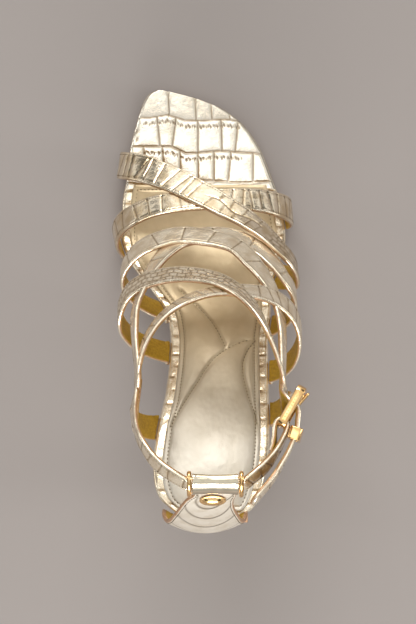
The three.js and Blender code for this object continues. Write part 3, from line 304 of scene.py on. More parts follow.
# Lines of straps: places, normals of the inner face and widths
def through(points, steps):
    """Centripetal curve through points at steps + 1 even places, with each one's segment and part."""
    points = np.asarray(points, float)
    last = len(points) - 1
    ends = np.vstack([2 * points[0] - points[1], points, 2 * points[-1] - points[-2]])
    at = np.linspace(0, last, steps + 1)
    k = np.minimum(at.astype(int), last - 1)
    w = (at - k)[:, None]
    p0, p1, p2, p3 = (ends[k + i] for i in range(4))
    d0, d1, d2 = (np.linalg.norm(b - a, axis=1)[:, None] ** 0.5 for a, b in ((p0, p1), (p1, p2), (p2, p3)))
    t1 = ((p1 - p0) / d0 - (p2 - p0) / (d0 + d1) + (p2 - p1) / d1) * d1
    t2 = ((p2 - p1) / d1 - (p3 - p1) / (d1 + d2) + (p3 - p2) / d2) * d1
    c2, c3 = -3 * p1 + 3 * p2 - 2 * t1 - t2, 2 * p1 - 2 * p2 + t1 + t2
    return p1 + t1 * w + c2 * w**2 + c3 * w**3, k, w


def leaned(normal, upright):
    """A face's normal turned toward level, so that the face stands up."""
    return unit(np.concatenate([normal[..., :2], (normal[..., 2] * (1 - upright))[..., None]], -1))


def strap_line(name, steps):
    rows = np.array(STRAPS[name], float)
    at, k, w = through(rows[:, :3], steps)
    normal = form_normal(at[:, 1], at[:, 0])
    point = form_point(at[:, 1], at[:, 0]) + normal * at[:, 2:3] * (THICK - BOND)
    wide, upright = (rows[k, i] + (rows[k + 1, i] - rows[k, i]) * w[:, 0] for i in (3, 4))
    return {"point": point, "normal": leaned(normal, upright), "wide": STRAP * wide}


def from_board(line):
    """The first end of a strap runs down beside the board, to its underside."""
    x, y, _ = line["point"][0]
    side = np.sign(x)
    edge = medial_x if side < 0 else lateral_x
    outward = unit(np.array([side, -side * (edge(y + 1) - edge(y - 1)) / 2, 0]))
    down = unit(np.array([0, board_slope(y), -1]))
    low = line["point"][0] + down * (BOARD - BEVEL)
    return {
        "point": np.vstack([low, line["point"]]),
        "normal": np.vstack([outward, outward, line["normal"][1:]]),
        "wide": np.concatenate([line["wide"][:1], line["wide"]]),
    }


def backward(line):
    return {key: value[::-1].copy() for key, value in line.items()}


def even(line, pitch=0.55):
    """The same line with places an even distance apart."""
    run = run_along(line["point"])
    at = np.linspace(0, run[-1], max(int(run[-1] / pitch), 8) + 1)
    new = {key: taken(value, run, at) for key, value in line.items()}
    return {**new, "normal": unit(new["normal"]), "run": at}


def frames(line):
    """Directions across the line and out of its outer face."""
    point = line["point"]
    along = unit(np.vstack([point[1:2] - point[:1], point[2:] - point[:-2], point[-1:] - point[-2:-1]]))
    across = unit(np.cross(along, line["normal"]))
    return across, np.cross(across, along)


def beside(line, ahead=0.0, behind=0.0, out=0.0, down=0.0):
    """Place ahead of a line's end, or behind it along the line, moved out and down by thicknesses."""
    point = line["point"]
    left = behind
    i = len(point) - 1
    while i > 1 and left > np.linalg.norm(point[i] - point[i - 1]):
        left -= np.linalg.norm(point[i] - point[i - 1])
        i -= 1
    along = unit(point[i] - point[i - 1])
    across = unit(np.cross(along, line["normal"][i]))
    normal = unit(np.cross(across, along))
    lower = across if across[2] < 0 else -across
    place = point[i] + along * (ahead - left) + normal * out * THICK + lower * down * THICK
    return {"point": place, "along": along, "across": across, "normal": normal, "wide": line["wide"][i]}


# Row frame: millimetres of the plan to metres
low_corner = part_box("footbed")[0]
board_low = medial_x(stations(0, LENGTH, 44)).min()
ORIGIN = np.array([low_corner.x * 1000 - board_low, low_corner.y * 1000, 0.0])


def to_row(points):
    return (np.asarray(points, float) + ORIGIN) / 1000


# Materials
class Nodes:
    """Short calls that add nodes to the tree of a material or of the world."""

    def __init__(self, owner):
        owner.use_nodes = True
        self.tree = owner.node_tree

    def put(self, socket, value):
        if isinstance(value, bpy.types.NodeSocket):
            self.tree.links.new(value, socket)
        elif socket.type == "RGBA":
            socket.default_value = (*value, 1)
        else:
            socket.default_value = value

    def add(self, kind, output, inputs, **settings):
        made = self.tree.nodes.new("ShaderNode" + kind)
        for key, value in settings.items():
            setattr(made, key, value)
        for key, value in inputs.items():
            self.put(made.inputs[key], value)
        return made.outputs[output]

    def attribute(self, name, output):
        return self.add("Attribute", output, {}, attribute_name=name)

    def noise(self, vector, scale, detail):
        return self.add("TexNoise", "Fac", {"Vector": vector, "Scale": scale, "Detail": detail})

    def spread(self, value, low=0.0, high=1.0, top=1.0):
        """Brings a value from 0 to top into the range from low to high."""
        return self.add("MapRange", "Result", {"Value": value, "From Max": top, "To Min": low, "To Max": high})

    def ramp(self, factor, *stops):
        made = self.tree.nodes.new("ShaderNodeValToRGB")
        points = made.color_ramp.elements
        while len(points) < len(stops):
            points.new(0.5)
        for point, (at, colour) in zip(points, stops):
            point.position = at
            point.color = (*colour, 1)
        self.put(made.inputs["Fac"], factor)
        return made.outputs["Color"]

    def mix(self, kind, factor, a, b):
        return self.add("Mix", 2, {0: factor, 6: a, 7: b}, data_type="RGBA", blend_type=kind)

    def bump(self, height, strength, distance, normal=None):
        under = {} if normal is None else {"Normal": normal}
        return self.add("Bump", "Normal", {"Height": height, "Strength": strength, "Distance": distance, **under})

    def math(self, kind, *values):
        return self.add("Math", 0, dict(enumerate(values)), operation=kind)

    def surface(self, colour, normal, rough, metallic):
        sockets = self.tree.nodes["Principled BSDF"].inputs
        self.put(sockets["Base Color"], colour)
        self.put(sockets["Normal"], normal)
        self.put(sockets["Roughness"], rough)
        self.put(sockets["Metallic"], metallic)


def leather(name, light, dark, groove, *, rough, metallic, grain, crackle, crumple):
    """Foil-coated embossed leather: darker in its grooves, crumpled a little, with a fine crackle and grain."""
    mat = bpy.data.materials.new(name)
    nodes = Nodes(mat)
    flat = nodes.attribute("flat", "Vector")
    tone = nodes.ramp(nodes.noise(flat, 0.16, 5), (0.36, dark), (0.58, light))
    colour = nodes.mix("MIX", nodes.attribute("groove", "Fac"), tone, groove)
    plates = nodes.add("Mapping", "Vector", {"Vector": flat, "Scale": (0.8, 0.4, 1)})
    cracks = nodes.add("TexVoronoi", "Distance", {"Vector": plates, "Scale": 1.0}, feature="DISTANCE_TO_EDGE")
    fine = nodes.noise(flat, 3.2, 5)
    normal = nodes.bump(nodes.noise(flat, 0.3, 2), crumple, 0.0012)
    normal = nodes.bump(nodes.spread(cracks, top=0.12), crackle, 0.00006, normal)
    normal = nodes.bump(fine, grain, 0.00012, normal)
    nodes.surface(colour, normal, nodes.spread(fine, rough * 0.75, rough * 1.35), metallic)
    return mat


def satin(name):
    """Satin leather of the sock, with painted shade in its colour: pale over the heel, deeper and more golden
    toward the ball, where the straps and the sloping arch lie in shade.
    """
    mat = bpy.data.materials.new(name)
    nodes = Nodes(mat)
    flat = nodes.attribute("flat", "Vector")
    # Painted shade: the colour ramp along the foot, from pale at the heel to deep gold past the middle, stands in
    # for the shade under the straps and on the sloping arch
    along = nodes.spread(nodes.add("SeparateXYZ", "X", {"Vector": flat}), top=LENGTH * SOCK_FRONT)
    tone = nodes.ramp(along, (0.2, (0.63, 0.585, 0.5)), (0.42, (0.6, 0.52, 0.39)),
                      (0.58, (0.6, 0.47, 0.29)), (0.78, (0.72, 0.58, 0.37)))
    cloud = nodes.noise(flat, 0.06, 3)
    patches = nodes.ramp(cloud, (0.35, (0.82, 0.8, 0.76)), (0.65, (1, 1, 1)))
    tone = nodes.mix("MULTIPLY", 1.0, tone, patches)
    colour = nodes.mix("MIX", nodes.attribute("groove", "Fac"), tone, (0.42, 0.33, 0.19))
    normal = nodes.bump(nodes.noise(flat, 2.6, 6), 0.3, 0.0001, nodes.bump(cloud, 0.25, 0.004))
    nodes.surface(colour, normal, 0.42, 0.45)
    return mat


def speckled(name, light, dark, *, rough, metallic=0.0, scale=400, detail=6, stops=(0.35, 0.65), bumpy=0.3,
             uneven=None):
    """Two close colours in fine patches, with a slight bump and an uneven roughness."""
    mat = bpy.data.materials.new(name)
    nodes = Nodes(mat)
    noise = nodes.noise(nodes.add("TexCoord", "Object", {}), scale, detail)
    colour = nodes.ramp(noise, (stops[0], dark), (stops[1], light))
    if uneven:
        rough = nodes.spread(noise, rough * uneven[0], rough * uneven[1])
    nodes.surface(colour, nodes.bump(noise, bumpy, 0.0001), rough, metallic)
    return mat


def metal(name, light, dark, rough):
    """Plated metal with a faint unevenness of polish."""
    return speckled(name, light, dark, rough=rough, metallic=1.0, scale=260, detail=3, stops=(0.3, 0.7),
                    bumpy=0.08, uneven=(0.7, 1.4))


CROC = leather("croc_gold", (0.92, 0.82, 0.64), (0.76, 0.63, 0.45), (0.27, 0.16, 0.06),
               rough=0.22, metallic=0.76, grain=0.22, crackle=0.18, crumple=0.2)
VAMP = leather("croc_vamp", (0.9, 0.79, 0.61), (0.7, 0.56, 0.37), (0.26, 0.16, 0.06),
               rough=0.17, metallic=0.93, grain=0.2, crackle=0.15, crumple=0.16)
PANEL = leather("croc_panel", (0.85, 0.78, 0.66), (0.76, 0.68, 0.55), (0.24, 0.155, 0.07),
                rough=0.18, metallic=0.93, grain=0.2, crackle=0.12, crumple=0.08)
# Painted light: the heel tab has its own copy of the croc leather, greyer and less metallic than the straps', so
# that it reads as lit from behind
TAB_LIT_LEATHER = leather("croc_tab_lit", (0.78, 0.71, 0.6), (0.68, 0.6, 0.48), (0.1, 0.06, 0.025),
                      rough=0.34, metallic=0.5, grain=0.3, crackle=0.2, crumple=0.1)
LINING = speckled("mustard_lining", (0.5, 0.3, 0.022), (0.36, 0.2, 0.012), rough=0.45, metallic=0.2, scale=900)
EDGE = speckled("edge_paint", (0.54, 0.31, 0.17), (0.38, 0.21, 0.11), rough=0.38, metallic=0.4, scale=500,
                bumpy=0.2)
SATIN = satin("satin_sock_painted_shade")
THREAD = speckled("thread", (0.14, 0.09, 0.035), (0.085, 0.052, 0.02), rough=0.6, metallic=0.1, scale=2500,
                  bumpy=0.6)
GOLD = metal("gold_plate", (0.96, 0.66, 0.32), (0.86, 0.53, 0.22), 0.19)
FOIL = metal("mirror_foil", (0.86, 0.78, 0.62), (0.74, 0.66, 0.5), 0.1)
SOLE = speckled("sole_tan", (0.58, 0.36, 0.18), (0.42, 0.24, 0.11), rough=0.55, scale=300, bumpy=0.4)
RUBBER = speckled("tip_rubber", (0.07, 0.045, 0.03), (0.035, 0.022, 0.015), rough=0.65, scale=900, bumpy=0.5)


# Meshes
def add_mesh(name, points, faces, mats, slot, node=None, kinds=None, smooth=True, **attributes):
    """A piece of the visual model: its mesh, its materials and the solid that it stands for. The slot argument is
    not used.
    """
    data = bpy.data.meshes.new(name)
    data.from_pydata(to_row(points).tolist(), [], [list(map(int, f)) for f in faces])
    for mat in mats:
        data.materials.append(mat)
    if kinds is not None:
        data.polygons.foreach_set("material_index", np.asarray(kinds, np.int32))
    data.polygons.foreach_set("use_smooth", np.full(len(data.polygons), smooth))
    for key, values in attributes.items():
        kind, field = ("FLOAT", "value") if values.ndim == 1 else ("FLOAT_VECTOR", "vector")
        data.attributes.new(key, kind, "POINT").data.foreach_set(field, np.asarray(values, float).ravel())
    data.update()
    made = bpy.data.objects.new(name, data)
    bpy.context.scene.collection.objects.link(made)
    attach(made, "root")
    if node:
        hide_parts(node)
    return made


def loops_mesh(grid, closed_rows=False):
    """Faces between loops of points: grid is rows x loop x 3, with caps on open ends."""
    rows, count = grid.shape[:2]
    i = np.arange(rows if closed_rows else rows - 1)[:, None]
    j = np.arange(count)[None, :]
    up = ((i + 1) % rows) * count
    faces = stack(i * count + j, i * count + (j + 1) % count, up + (j + 1) % count, up + j).reshape(-1, 4)
    points = grid.reshape(-1, 3)
    v = points[faces]
    volume = sum(np.einsum("ij,ij->i", v[:, 0], np.cross(v[:, k], v[:, k + 1])).sum() for k in (1, 2))
    caps = [] if closed_rows else [list(range(count))[::-1], list(range((rows - 1) * count, rows * count))]
    faces = faces.tolist() + caps
    return points, ([f[::-1] for f in faces] if volume < 0 else faces)


def circle(count):
    a = 2 * np.pi * np.arange(count) / count
    return np.cos(a)[:, None], np.sin(a)[:, None]


def turned(profile, base, axis, a, b, count):
    """A turned piece: the profile's rows are a place along the axis and a radius, a and b span its rings."""
    cos, sin = circle(count)
    return loops_mesh(np.stack([base + axis * along + a * r * cos + b * r * sin for along, r in profile]))


# Embossing of a strip: from and to as shares of its length, rows of scales across it, length of a scale in mm
BARS, SMOOTH, FINE = ((0, 1, 1, 6.5),), ((0, 1, 1, 17),), ((0, 1, 4, 4.2),)
MARKS = 240
GROOVE_WIDE = 0.36
WINDOW_FADE = 0.03


def scales(u, v, half, pattern, seed):
    """Embossed scales on a strip, u along it and v across it: height in mm, and groove from 0 to 1."""
    share = u / u.max()
    height, groove = 0 * (u + v), 0 * (u + v)
    for start, end, rows, cell in pattern:
        rng = np.random.default_rng(seed + rows)
        marks = np.cumsum(rng.uniform(0.7, 1.3, MARKS)) * cell - 6 * cell
        lean = rng.uniform(-0.22, 0.22, MARKS)
        place = (v / half + 1) / 2 * rows + (rows > 1) * 0.2 * np.sin(1.9 * u / cell + seed)
        row = np.clip(np.floor(place), 0, rows - 1)
        q = u + 0.12 * v * np.sin(u / 19 + seed) + row * 0.46 * cell * (1 + 0.3 * np.sin(u / 13))
        i = np.clip(np.searchsorted(marks, q), 1, MARKS - 1)
        near = np.minimum(np.abs(q - marks[i - 1] - lean[i - 1] * v), np.abs(marks[i] + lean[i] * v - q))
        if rows > 1:
            inner = np.clip(np.round(place), 1, rows - 1)
            near = np.minimum(near, np.abs(place - inner) * 2 * half / rows)
        deep = 0.38 / rows**0.35
        cut = bell(near, GROOVE_WIDE)
        window = faded(share, start, WINDOW_FADE) if start > 0 else 1.0
        window = window * (faded(-share, -end, WINDOW_FADE) if end < 1 else 1.0)
        height = height + window * (0.5 * deep * (1 - np.exp(-near / 1.5)) - deep * cut)
        groove = groove + window * cut * 0.9
    return height, groove


# Stitches: little rods, each of four rings with a place along it and a share of its radius
STITCH_RINGS, STITCH_SIDES = ((-1, 0.35), (-0.6, 0.95), (0.6, 0.95), (1, 0.35)), 5
STITCH_SIZE = len(STITCH_RINGS) * STITCH_SIDES
STITCH_FACES = [
    [j + STITCH_SIDES + k, j + STITCH_SIDES + (k + 1) % STITCH_SIDES, j + (k + 1) % STITCH_SIDES, j + k]
    for j in range(0, STITCH_SIZE - STITCH_SIDES, STITCH_SIDES) for k in range(STITCH_SIDES)
]
STITCH_FACES += [list(range(STITCH_SIDES)), list(range(STITCH_SIZE))[:-STITCH_SIDES - 1:-1]]
SEAM = 1.5
stitch_points = []


def stitch(points, normals, pitch=1.6, length=0.85, radius=0.28, lift=0.03):
    """A row of stitches along a line of places with their outward normals."""
    run = run_along(points)
    if run[-1] < pitch:
        return
    at = np.arange(pitch / 2, run[-1], pitch)
    middle, normal = taken(points, run, at), unit(taken(normals, run, at))
    along = unit(taken(points, run, at + 0.3) - taken(points, run, at - 0.3) + 1e-9)
    across = np.cross(along, normal)
    t, r = np.repeat(np.array(STITCH_RINGS).T, STITCH_SIDES, 1)[..., None]
    cos, sin = (np.tile(part, (len(STITCH_RINGS), 1)) for part in circle(STITCH_SIDES))
    stitch_points.append(
        middle[:, None] + along[:, None] * t * length / 2
        + normal[:, None] * (lift + radius * r * cos - 0.1 * t * t) + across[:, None] * radius * r * sin
    )


# Section of a strap: places across its face, then places and heights round its inner side
FACE_SHARES = np.concatenate([[-1, -0.985, -0.955], np.linspace(-0.92, 0.92, 29), [0.955, 0.985, 1]])
INNER_SHARES = np.array([1, 1, 0.94, 0.5, 0, -0.5, -0.94, -1, -1])
INNER_EDGE, INNER_SKIN, STRAP_ROUND = 0.3, 0.02, 0.7
END_LENGTH, END_STITCHES = 6, 16


def strap(name, line, node, pattern, seed, thick=THICK, round_end=False, trim=True, face_mat=CROC):
    """A sewn strap: embossed face, painted edges, foil lining, rounded section."""
    line = even(line)
    across, out = frames(line)
    half = line["wide"][:, None] / 2
    u = line["run"][:, None]
    if round_end:
        left = np.clip((line["run"][-1] - line["run"]) / END_LENGTH, 0, 1)[:, None]
        half = half * np.sqrt(np.clip(1 - (1 - left) ** 2, 0.03, 1))
    v = FACE_SHARES * half
    inset = half - np.abs(v)
    height, cut = scales(u, v, half, pattern, seed)
    soft = faded(inset, 0.5, 1.0)
    seam = bell(inset - SEAM, 0.4)
    top = thick - rounding(inset, STRAP_ROUND) + (height * soft - 0.16 * seam) * 0.8
    inner_v = INNER_SHARES * half
    inner_n = np.array([thick / 2, INNER_EDGE, INNER_SKIN, 0, 0, 0, INNER_SKIN, INNER_EDGE, thick / 2])
    w, n = np.hstack([v, inner_v]), np.hstack([top, np.broadcast_to(inner_n, inner_v.shape)])
    grid = line["point"][:, None] + across[:, None] * w[..., None] + out[:, None] * n[..., None]
    if trim:
        # What would lie inside the board is drawn out to the board's side
        y = grid[..., 1]
        low = grid[..., 2] < board_top(y) + 0.2
        m, l = medial_x(y) - GAP / 2, lateral_x(y) + GAP / 2
        inside = low & (grid[..., 0] > m) & (grid[..., 0] < l)
        side = np.where(grid[..., 0] < (m + l) / 2, m, l)
        grid[..., 0] = np.where(inside, side, grid[..., 0])
        grid[..., 2] = np.where(low, np.maximum(grid[..., 2], board_bottom(y)), grid[..., 2])
    points, faces = loops_mesh(grid)
    edges = (len(FACE_SHARES), len(FACE_SHARES) + 7)
    j = np.tile(np.arange(grid.shape[1]), grid.shape[0] - 1)
    kinds = np.select([(j == edges[0]) | (j == edges[1]), (j > edges[0]) & (j < edges[1])], [1, 2], 0)
    made = add_mesh(name, points, faces, [face_mat, EDGE, LINING], "gold_leather", node,
                    kinds=np.concatenate([kinds, [1, 1]]), flat=stack(u, w, float(seed)).reshape(-1, 3),
                    groove=np.hstack([np.maximum(cut * soft, 0.12 * seam), 0 * inner_v]).ravel())
    keep = slice(3, -END_STITCHES if round_end else -3)
    for side in (-1, 1):
        path = line["point"] + across * side * (half - SEAM) + out * (thick - 0.12)
        stitch(path[keep], out[keep])
    return made


# Straps, from the toe to the ankle
for name, pattern, seed in (
    ("vamp_under", ((0, 0.45, 1, 7.5), (0.45, 1, 1, 5.2)), 3),
    ("vamp_over", ((0, 0.4, 1, 5.6), (0.4, 0.62, 2, 7), (0.62, 1, 4, 4.4)), 5),
):
    both_ends = from_board(backward(from_board(backward(strap_line(name, 300)))))
    strap(f"strap_{name}", both_ends, "vamp_straps", pattern, seed, face_mat=VAMP)
for name, pattern, seed in (("middle_over", SMOOTH, 7), ("middle_under", SMOOTH, 9), ("rear_over", FINE, 12)):
    strap(f"strap_{name}", from_board(strap_line(name, 300)), "instep_straps", pattern, seed)

# The sewn end of the medial quarter strap stays under the ankle strap
QUARTER_TUCK = 4
quarter = from_board(strap_line("medial_quarter", 200))
shown = np.linalg.norm(quarter["point"] - quarter["point"][-1], axis=1) > QUARTER_TUCK
strap("strap_medial_quarter", {key: value[shown] for key, value in quarter.items()}, "instep_straps", BARS, 14)
strap("strap_lateral_quarter", from_board(strap_line("lateral_quarter", 200)), "instep_straps", BARS, 17)

# Ankle strap: over the foot, through the tunnel, round the buckle's hinge bar and back along itself
ANKLE_STEPS, ANKLE_THICK = 64, 2.0
coarse = strap_line("ankle", ANKLE_STEPS)
bar = beside(coarse)
reach = math.hypot(HINGE, HINGE) / 2 + GAP
bar_middle = bar["point"] - bar["normal"] * reach
ankle = from_board(strap_line("ankle", 10 * ANKLE_STEPS))
turn = np.pi / 2 - np.linspace(0, np.pi, 25)[1:]
turn_normal = bar["along"] * np.cos(turn)[:, None] + bar["normal"] * np.sin(turn)[:, None]
leg = [beside(coarse, behind=behind * THICK, out=out) for behind, out in FOLD_LEG]
fold_points = np.vstack([bar_middle + turn_normal * reach, [p["point"] for p in leg]])
looped = {
    "point": np.vstack([ankle["point"], fold_points]),
    "normal": np.vstack([ankle["normal"], turn_normal, [-p["normal"] for p in leg]]),
    "wide": np.concatenate([ankle["wide"], np.full(len(fold_points), bar["wide"])]),
}
strap("strap_ankle", looped, "instep_straps", BARS, 21, thick=ANKLE_THICK)

# Free tail: through the buckle and back beside the ankle strap toward the tunnel's mouth
TAIL_STEPS = 200
mouth_row = max(i for i, row in enumerate(STRAPS["ankle"]) if row[1] == -1)
mouth = round(ANKLE_STEPS * mouth_row / (len(STRAPS["ankle"]) - 1))
mouth_run = np.linalg.norm(np.diff(coarse["point"][mouth:], axis=0), axis=1).sum()
billet = strap_line("billet", 2)
tail_rows = [beside(coarse, ahead=a * BUCKLE_LENGTH, out=out, down=down) for a, out, down in TAIL_IN_BUCKLE]
tail_rows += [beside(coarse, behind=b * mouth_run, out=out, down=down) for b, out, down in TAIL_BEHIND]
tail_points, k, w = through(np.vstack([billet["point"], [p["point"] for p in tail_rows]]), TAIL_STEPS)
normals = np.vstack([billet["normal"], leaned(np.array([p["normal"] for p in tail_rows]), TAIL_UPRIGHT)])
tail = {
    "point": tail_points,
    "normal": unit(normals[k] * (1 - w) + normals[k + 1] * w),
    "wide": np.full(TAIL_STEPS + 1, billet["wide"][0]),
}
strap("strap_tail", tail, "instep_straps", BARS, 23, round_end=True, trim=False)

# Footbed: wrapped board with the embossed toe panel
# Grooves of the panel: (x, y) in millimetres along each
PANEL_GROOVES = (
    ((-38, 206), (-30.5, 205.7), (-21, 207.2), (-12.1, 204.4), (-4.2, 204.1), (8.9, 204.9), (15.3, 204.1),
     (22, 202)),
    ((-44, 190.7), (-25.2, 190.5), (-18.9, 190.5), (-11.6, 187), (-5.3, 187.3), (6.3, 188.4), (14.2, 187.8),
     (29, 186.8)),
    ((-46, 174), (-20, 173.5), (2.6, 172.6), (16.8, 171.5), (24.7, 172.1), (35, 172.6)),
    ((-20.5, 206.5), (-20.8, 220)), ((-6.3, 204.2), (-6.6, 218)), ((2.1, 205), (1.6, 214)),
    ((11.6, 204.6), (10.8, 211)), ((-37.3, 206), (-37.6, 191)), ((-26.8, 205.8), (-25.2, 190.5)),
    ((-16.8, 206), (-18.9, 190.5)), ((-5.3, 204.2), (-5.3, 187.3)), ((6.8, 204.9), (7.4, 188.3)),
    ((15.8, 204), (14.2, 187.8)), ((-34, 190.6), (-33, 174)), ((-24, 190.5), (-23.4, 173.5)),
    ((-14.7, 188.2), (-14.7, 173)), ((-5.3, 187.3), (-5.3, 172.8)), ((3.2, 187.8), (3, 172.6)),
    ((12.1, 188), (10.5, 172)), ((23.7, 187), (23.7, 172)),
)


def distance_to(lines, x, y):
    best = np.full(x.shape, 99.0)
    for line in lines:
        for (x0, y0), (x1, y1) in zip(line, line[1:]):
            dx, dy = x1 - x0, y1 - y0
            t = np.clip(((x - x0) * dx + (y - y0) * dy) / (dx * dx + dy * dy), 0, 1)
            best = np.minimum(best, np.hypot(x - x0 - t * dx, y - y0 - t * dy))
    return best


def seen_above(grid, seed):
    """Places for the patterns of a surface that is seen from above."""
    return stack(grid[..., 1], grid[..., 0], float(seed)).reshape(-1, 3)


PANEL_START, PANEL_FADE, PANEL_CUT, BOARD_ROUND = 168, 6, 0.3, 1.8
# Short wrinkles beside the panel's two long grooves: how far from them, how wide, and from where to where
WRINKLE_AWAY, WRINKLE_WIDE, WRINKLE_FROM, WRINKLE_TO = 3.3, 0.6, -34, 18


def footbed():
    ends = np.array([0, 0.1, 0.3, 0.6, 1.0, 1.6])
    waist, ball = np.linspace(2.4, 164, 148), np.linspace(165, LENGTH - 2.2, 110)
    ys = np.concatenate([ends, waist, ball, (LENGTH - ends)[::-1]])
    side = np.array([0, 0.004, 0.012, 0.024, 0.04])
    t = np.concatenate([side, np.linspace(0.055, 0.945, 165), [0.96, 0.976, 0.988, 0.996, 1]])
    y = ys[:, None]
    m, l = medial_x(y), lateral_x(y)
    x = m + (l - m) * t
    inset = np.minimum(x - m, l - x)
    r = np.minimum(BOARD_ROUND, (l - m) / 4)
    near = distance_to(PANEL_GROOVES, x, y)
    cut = bell(near, PANEL_CUT)
    panel = faded(y, PANEL_START, PANEL_FADE)
    # The rim of the waist and heel has short scales across its edge
    rim, rim_cut = scales(y, inset - 3, 4.0, BARS, 31)
    height = (0.22 * (1 - np.exp(-near / 1.8)) - 0.24 * cut) * panel + 0.8 * rim * (1 - panel)
    cut = cut * panel + np.clip(2 * rim_cut, 0, 1) * (1 - panel)
    wander = 0.35 * np.sin(2.3 * x + WRINKLE_AWAY) + 0.3 * np.sin(5.1 * x + 1)
    wave = np.sin(x * 4.3 + 1.7 * np.sin(x * 0.9) + 1.5 * y) + 0.7 * np.sin(x * 1.7 + 0.6)
    wrinkled = np.clip(0.5 + 0.9 * wave, 0, 1) * (x > WRINKLE_FROM) * (x < WRINKLE_TO)
    marks = 0 * x
    for groove in PANEL_GROOVES[:2]:
        groove_y = np.interp(x, *np.array(groove).T)
        marks = np.maximum(marks, bell(y - groove_y + WRINKLE_AWAY + wander, WRINKLE_WIDE) * wrinkled)
    height = height - 0.28 * marks
    soft = faded(inset, 0.4, 1.2)
    top = board_top(y) + (height * soft - rounding(inset, r)) * stretch(y)
    bottom = board_bottom(y)
    under = np.hstack([bottom + 0.8, bottom, bottom, bottom + 0.8])
    under_x = np.hstack([l, l - r * 0.5, m + r * 0.5, m])
    grid = stack(np.hstack([x, under_x]), y, np.hstack([top, under]))
    kinds = np.concatenate([np.repeat(ys[:-1] < PANEL_START, grid.shape[1]), [True, False]])
    add_mesh("footbed_wrap", *loops_mesh(grid), [PANEL, CROC], "gold_leather", "footbed", kinds=kinds,
             flat=seen_above(grid, 2), groove=np.hstack([np.maximum(cut, marks) * soft, 0 * under]).ravel())


footbed()

# Sock: padded satin, with sewn channels: (x, y) in millimetres along each
CHANNELS = (
    ((-19.0, 45.8), (-16.5, 50.6), (-12.6, 56.9), (-9.1, 62.4), (-5.1, 68.3), (-1.5, 74.3), (2.5, 79.3),
     (8.7, 84.3), (13.8, 86.8), (18.9, 88.8), (24.6, 89.4)),
    ((-14.5, 115.1), (-9.3, 109.9), (-4.1, 105.3), (1.0, 99.6), (4.6, 94.5), (7.2, 89.4), (8.7, 86.3)),
    ((24.6, 89.4), (20.4, 84.3), (17.8, 78.3), (17.7, 71.8), (18.7, 66.8), (20.6, 60.4), (23.1, 53.5),
     (24.5, 47.7)),
)
PERIMETER, SOCK_ROUND = 2.6, 1.2
SOCK_END = SOCK_FRONT * LENGTH


def sock_top(x, y):
    """Height of the sock's face above the board, in mm, and how deep each place lies in a seam."""
    m, l = medial_x(y) + SOCK_INSET, lateral_x(y) - SOCK_INSET
    inset = np.minimum(np.minimum(x - m, l - x), np.minimum(y - SOCK_BACK, SOCK_END - y))
    channel = distance_to(CHANNELS, x, y)
    puff = 1 - np.exp(-np.minimum(channel, np.maximum(inset - PERIMETER, 0)) / 3.2)
    seam = bell(channel, 0.7) + 0.5 * bell(inset - PERIMETER, 0.5)
    return GAP + SOCK_THICK - rounding(inset, SOCK_ROUND) + puff - 0.5 * seam, np.clip(seam, 0, 1)


def on_sock(x, y):
    """Places just above the sock's face, and their normals."""
    up, _ = sock_top(x, y)
    return stack(x, y, board_top(y) + (up + 0.05) * stretch(y)), unit(stack(0 * x, -board_slope(y), 1))


def sock():
    ys = np.unique(np.concatenate([stations(SOCK_BACK, SOCK_END, 200), np.linspace(6, 14, 20)]))
    t = np.concatenate([[0, 0.006, 0.015, 0.03], np.linspace(0.045, 0.955, 86), [0.97, 0.985, 0.994, 1]])
    y = ys[:, None]
    m, l = medial_x(y) + SOCK_INSET, lateral_x(y) - SOCK_INSET
    x = m + (l - m) * t
    up, seam = sock_top(x, y)
    bottom = board_top(y) + GAP * stretch(y)
    grid = stack(np.hstack([x, l, m]), y, np.hstack([board_top(y) + up * stretch(y), bottom, bottom]))
    made = add_mesh("sock_padded", *loops_mesh(grid), [SATIN], "satin_leather", "sock",
                    flat=seen_above(grid, 8), groove=np.hstack([0.4 * seam, 0 * m, 0 * m]).ravel())

    for line in CHANNELS:
        path, _, _ = through(line, 120)
        stitch(*on_sock(*path.T), pitch=2.0, length=1.0, radius=0.3)
    y = np.linspace(SOCK_BACK + PERIMETER, SOCK_END - PERIMETER, 300)
    left, right = medial_x(y) + SOCK_INSET + PERIMETER, lateral_x(y) - SOCK_INSET - PERIMETER
    ring = on_sock(np.concatenate([right, left[::-1]]), np.concatenate([y, y[::-1]]))
    stitch(*ring, pitch=2.0, length=1.0, radius=0.28)


sock()

# Outsole, heel and top lift
BREAST = HEEL_BREAST * LENGTH
SOLE_INSET = 0.6
HEEL_RUN, HEEL_STRIP = 84, 22


def under_board(y):
    return board_bottom(y) - GAP * stretch(y)


def outsole():
    y = stations(BREAST + GAP, LENGTH - SOLE_INSET, 160)[:, None]
    m, l = medial_x(y) + SOLE_INSET, lateral_x(y) - SOLE_INSET
    top = under_board(y)
    x = m + (l - m) * np.array([0, 0.03, 0.08, 0.3, 0.5, 0.7, 0.92, 0.97, 1])
    low = top - OUTSOLE * stretch(y) + np.array([0.9, 0.25, 0, 0, 0, 0, 0, 0.25, 0.9])
    grid = stack(np.hstack([x, l, m]), y, np.hstack([low, top, top]))
    add_mesh("outsole_finished", *loops_mesh(grid), [SOLE], "sole_tan", "outsole")


outsole()


def seat_ring(count=44, across=14):
    """Outline of the heel's seat: its lateral side, its medial side and its breast."""
    y = HEEL_INSET + (BREAST - HEEL_INSET) * (1 - np.cos(np.linspace(0, np.pi / 2, count)))
    right, left = stack(lateral_x(y) - HEEL_INSET, y)[::-1], stack(medial_x(y) + HEEL_INSET, y)
    return np.vstack([right, left, stack(np.linspace(left[-1, 0], right[0, 0], across)[1:-1], BREAST)])


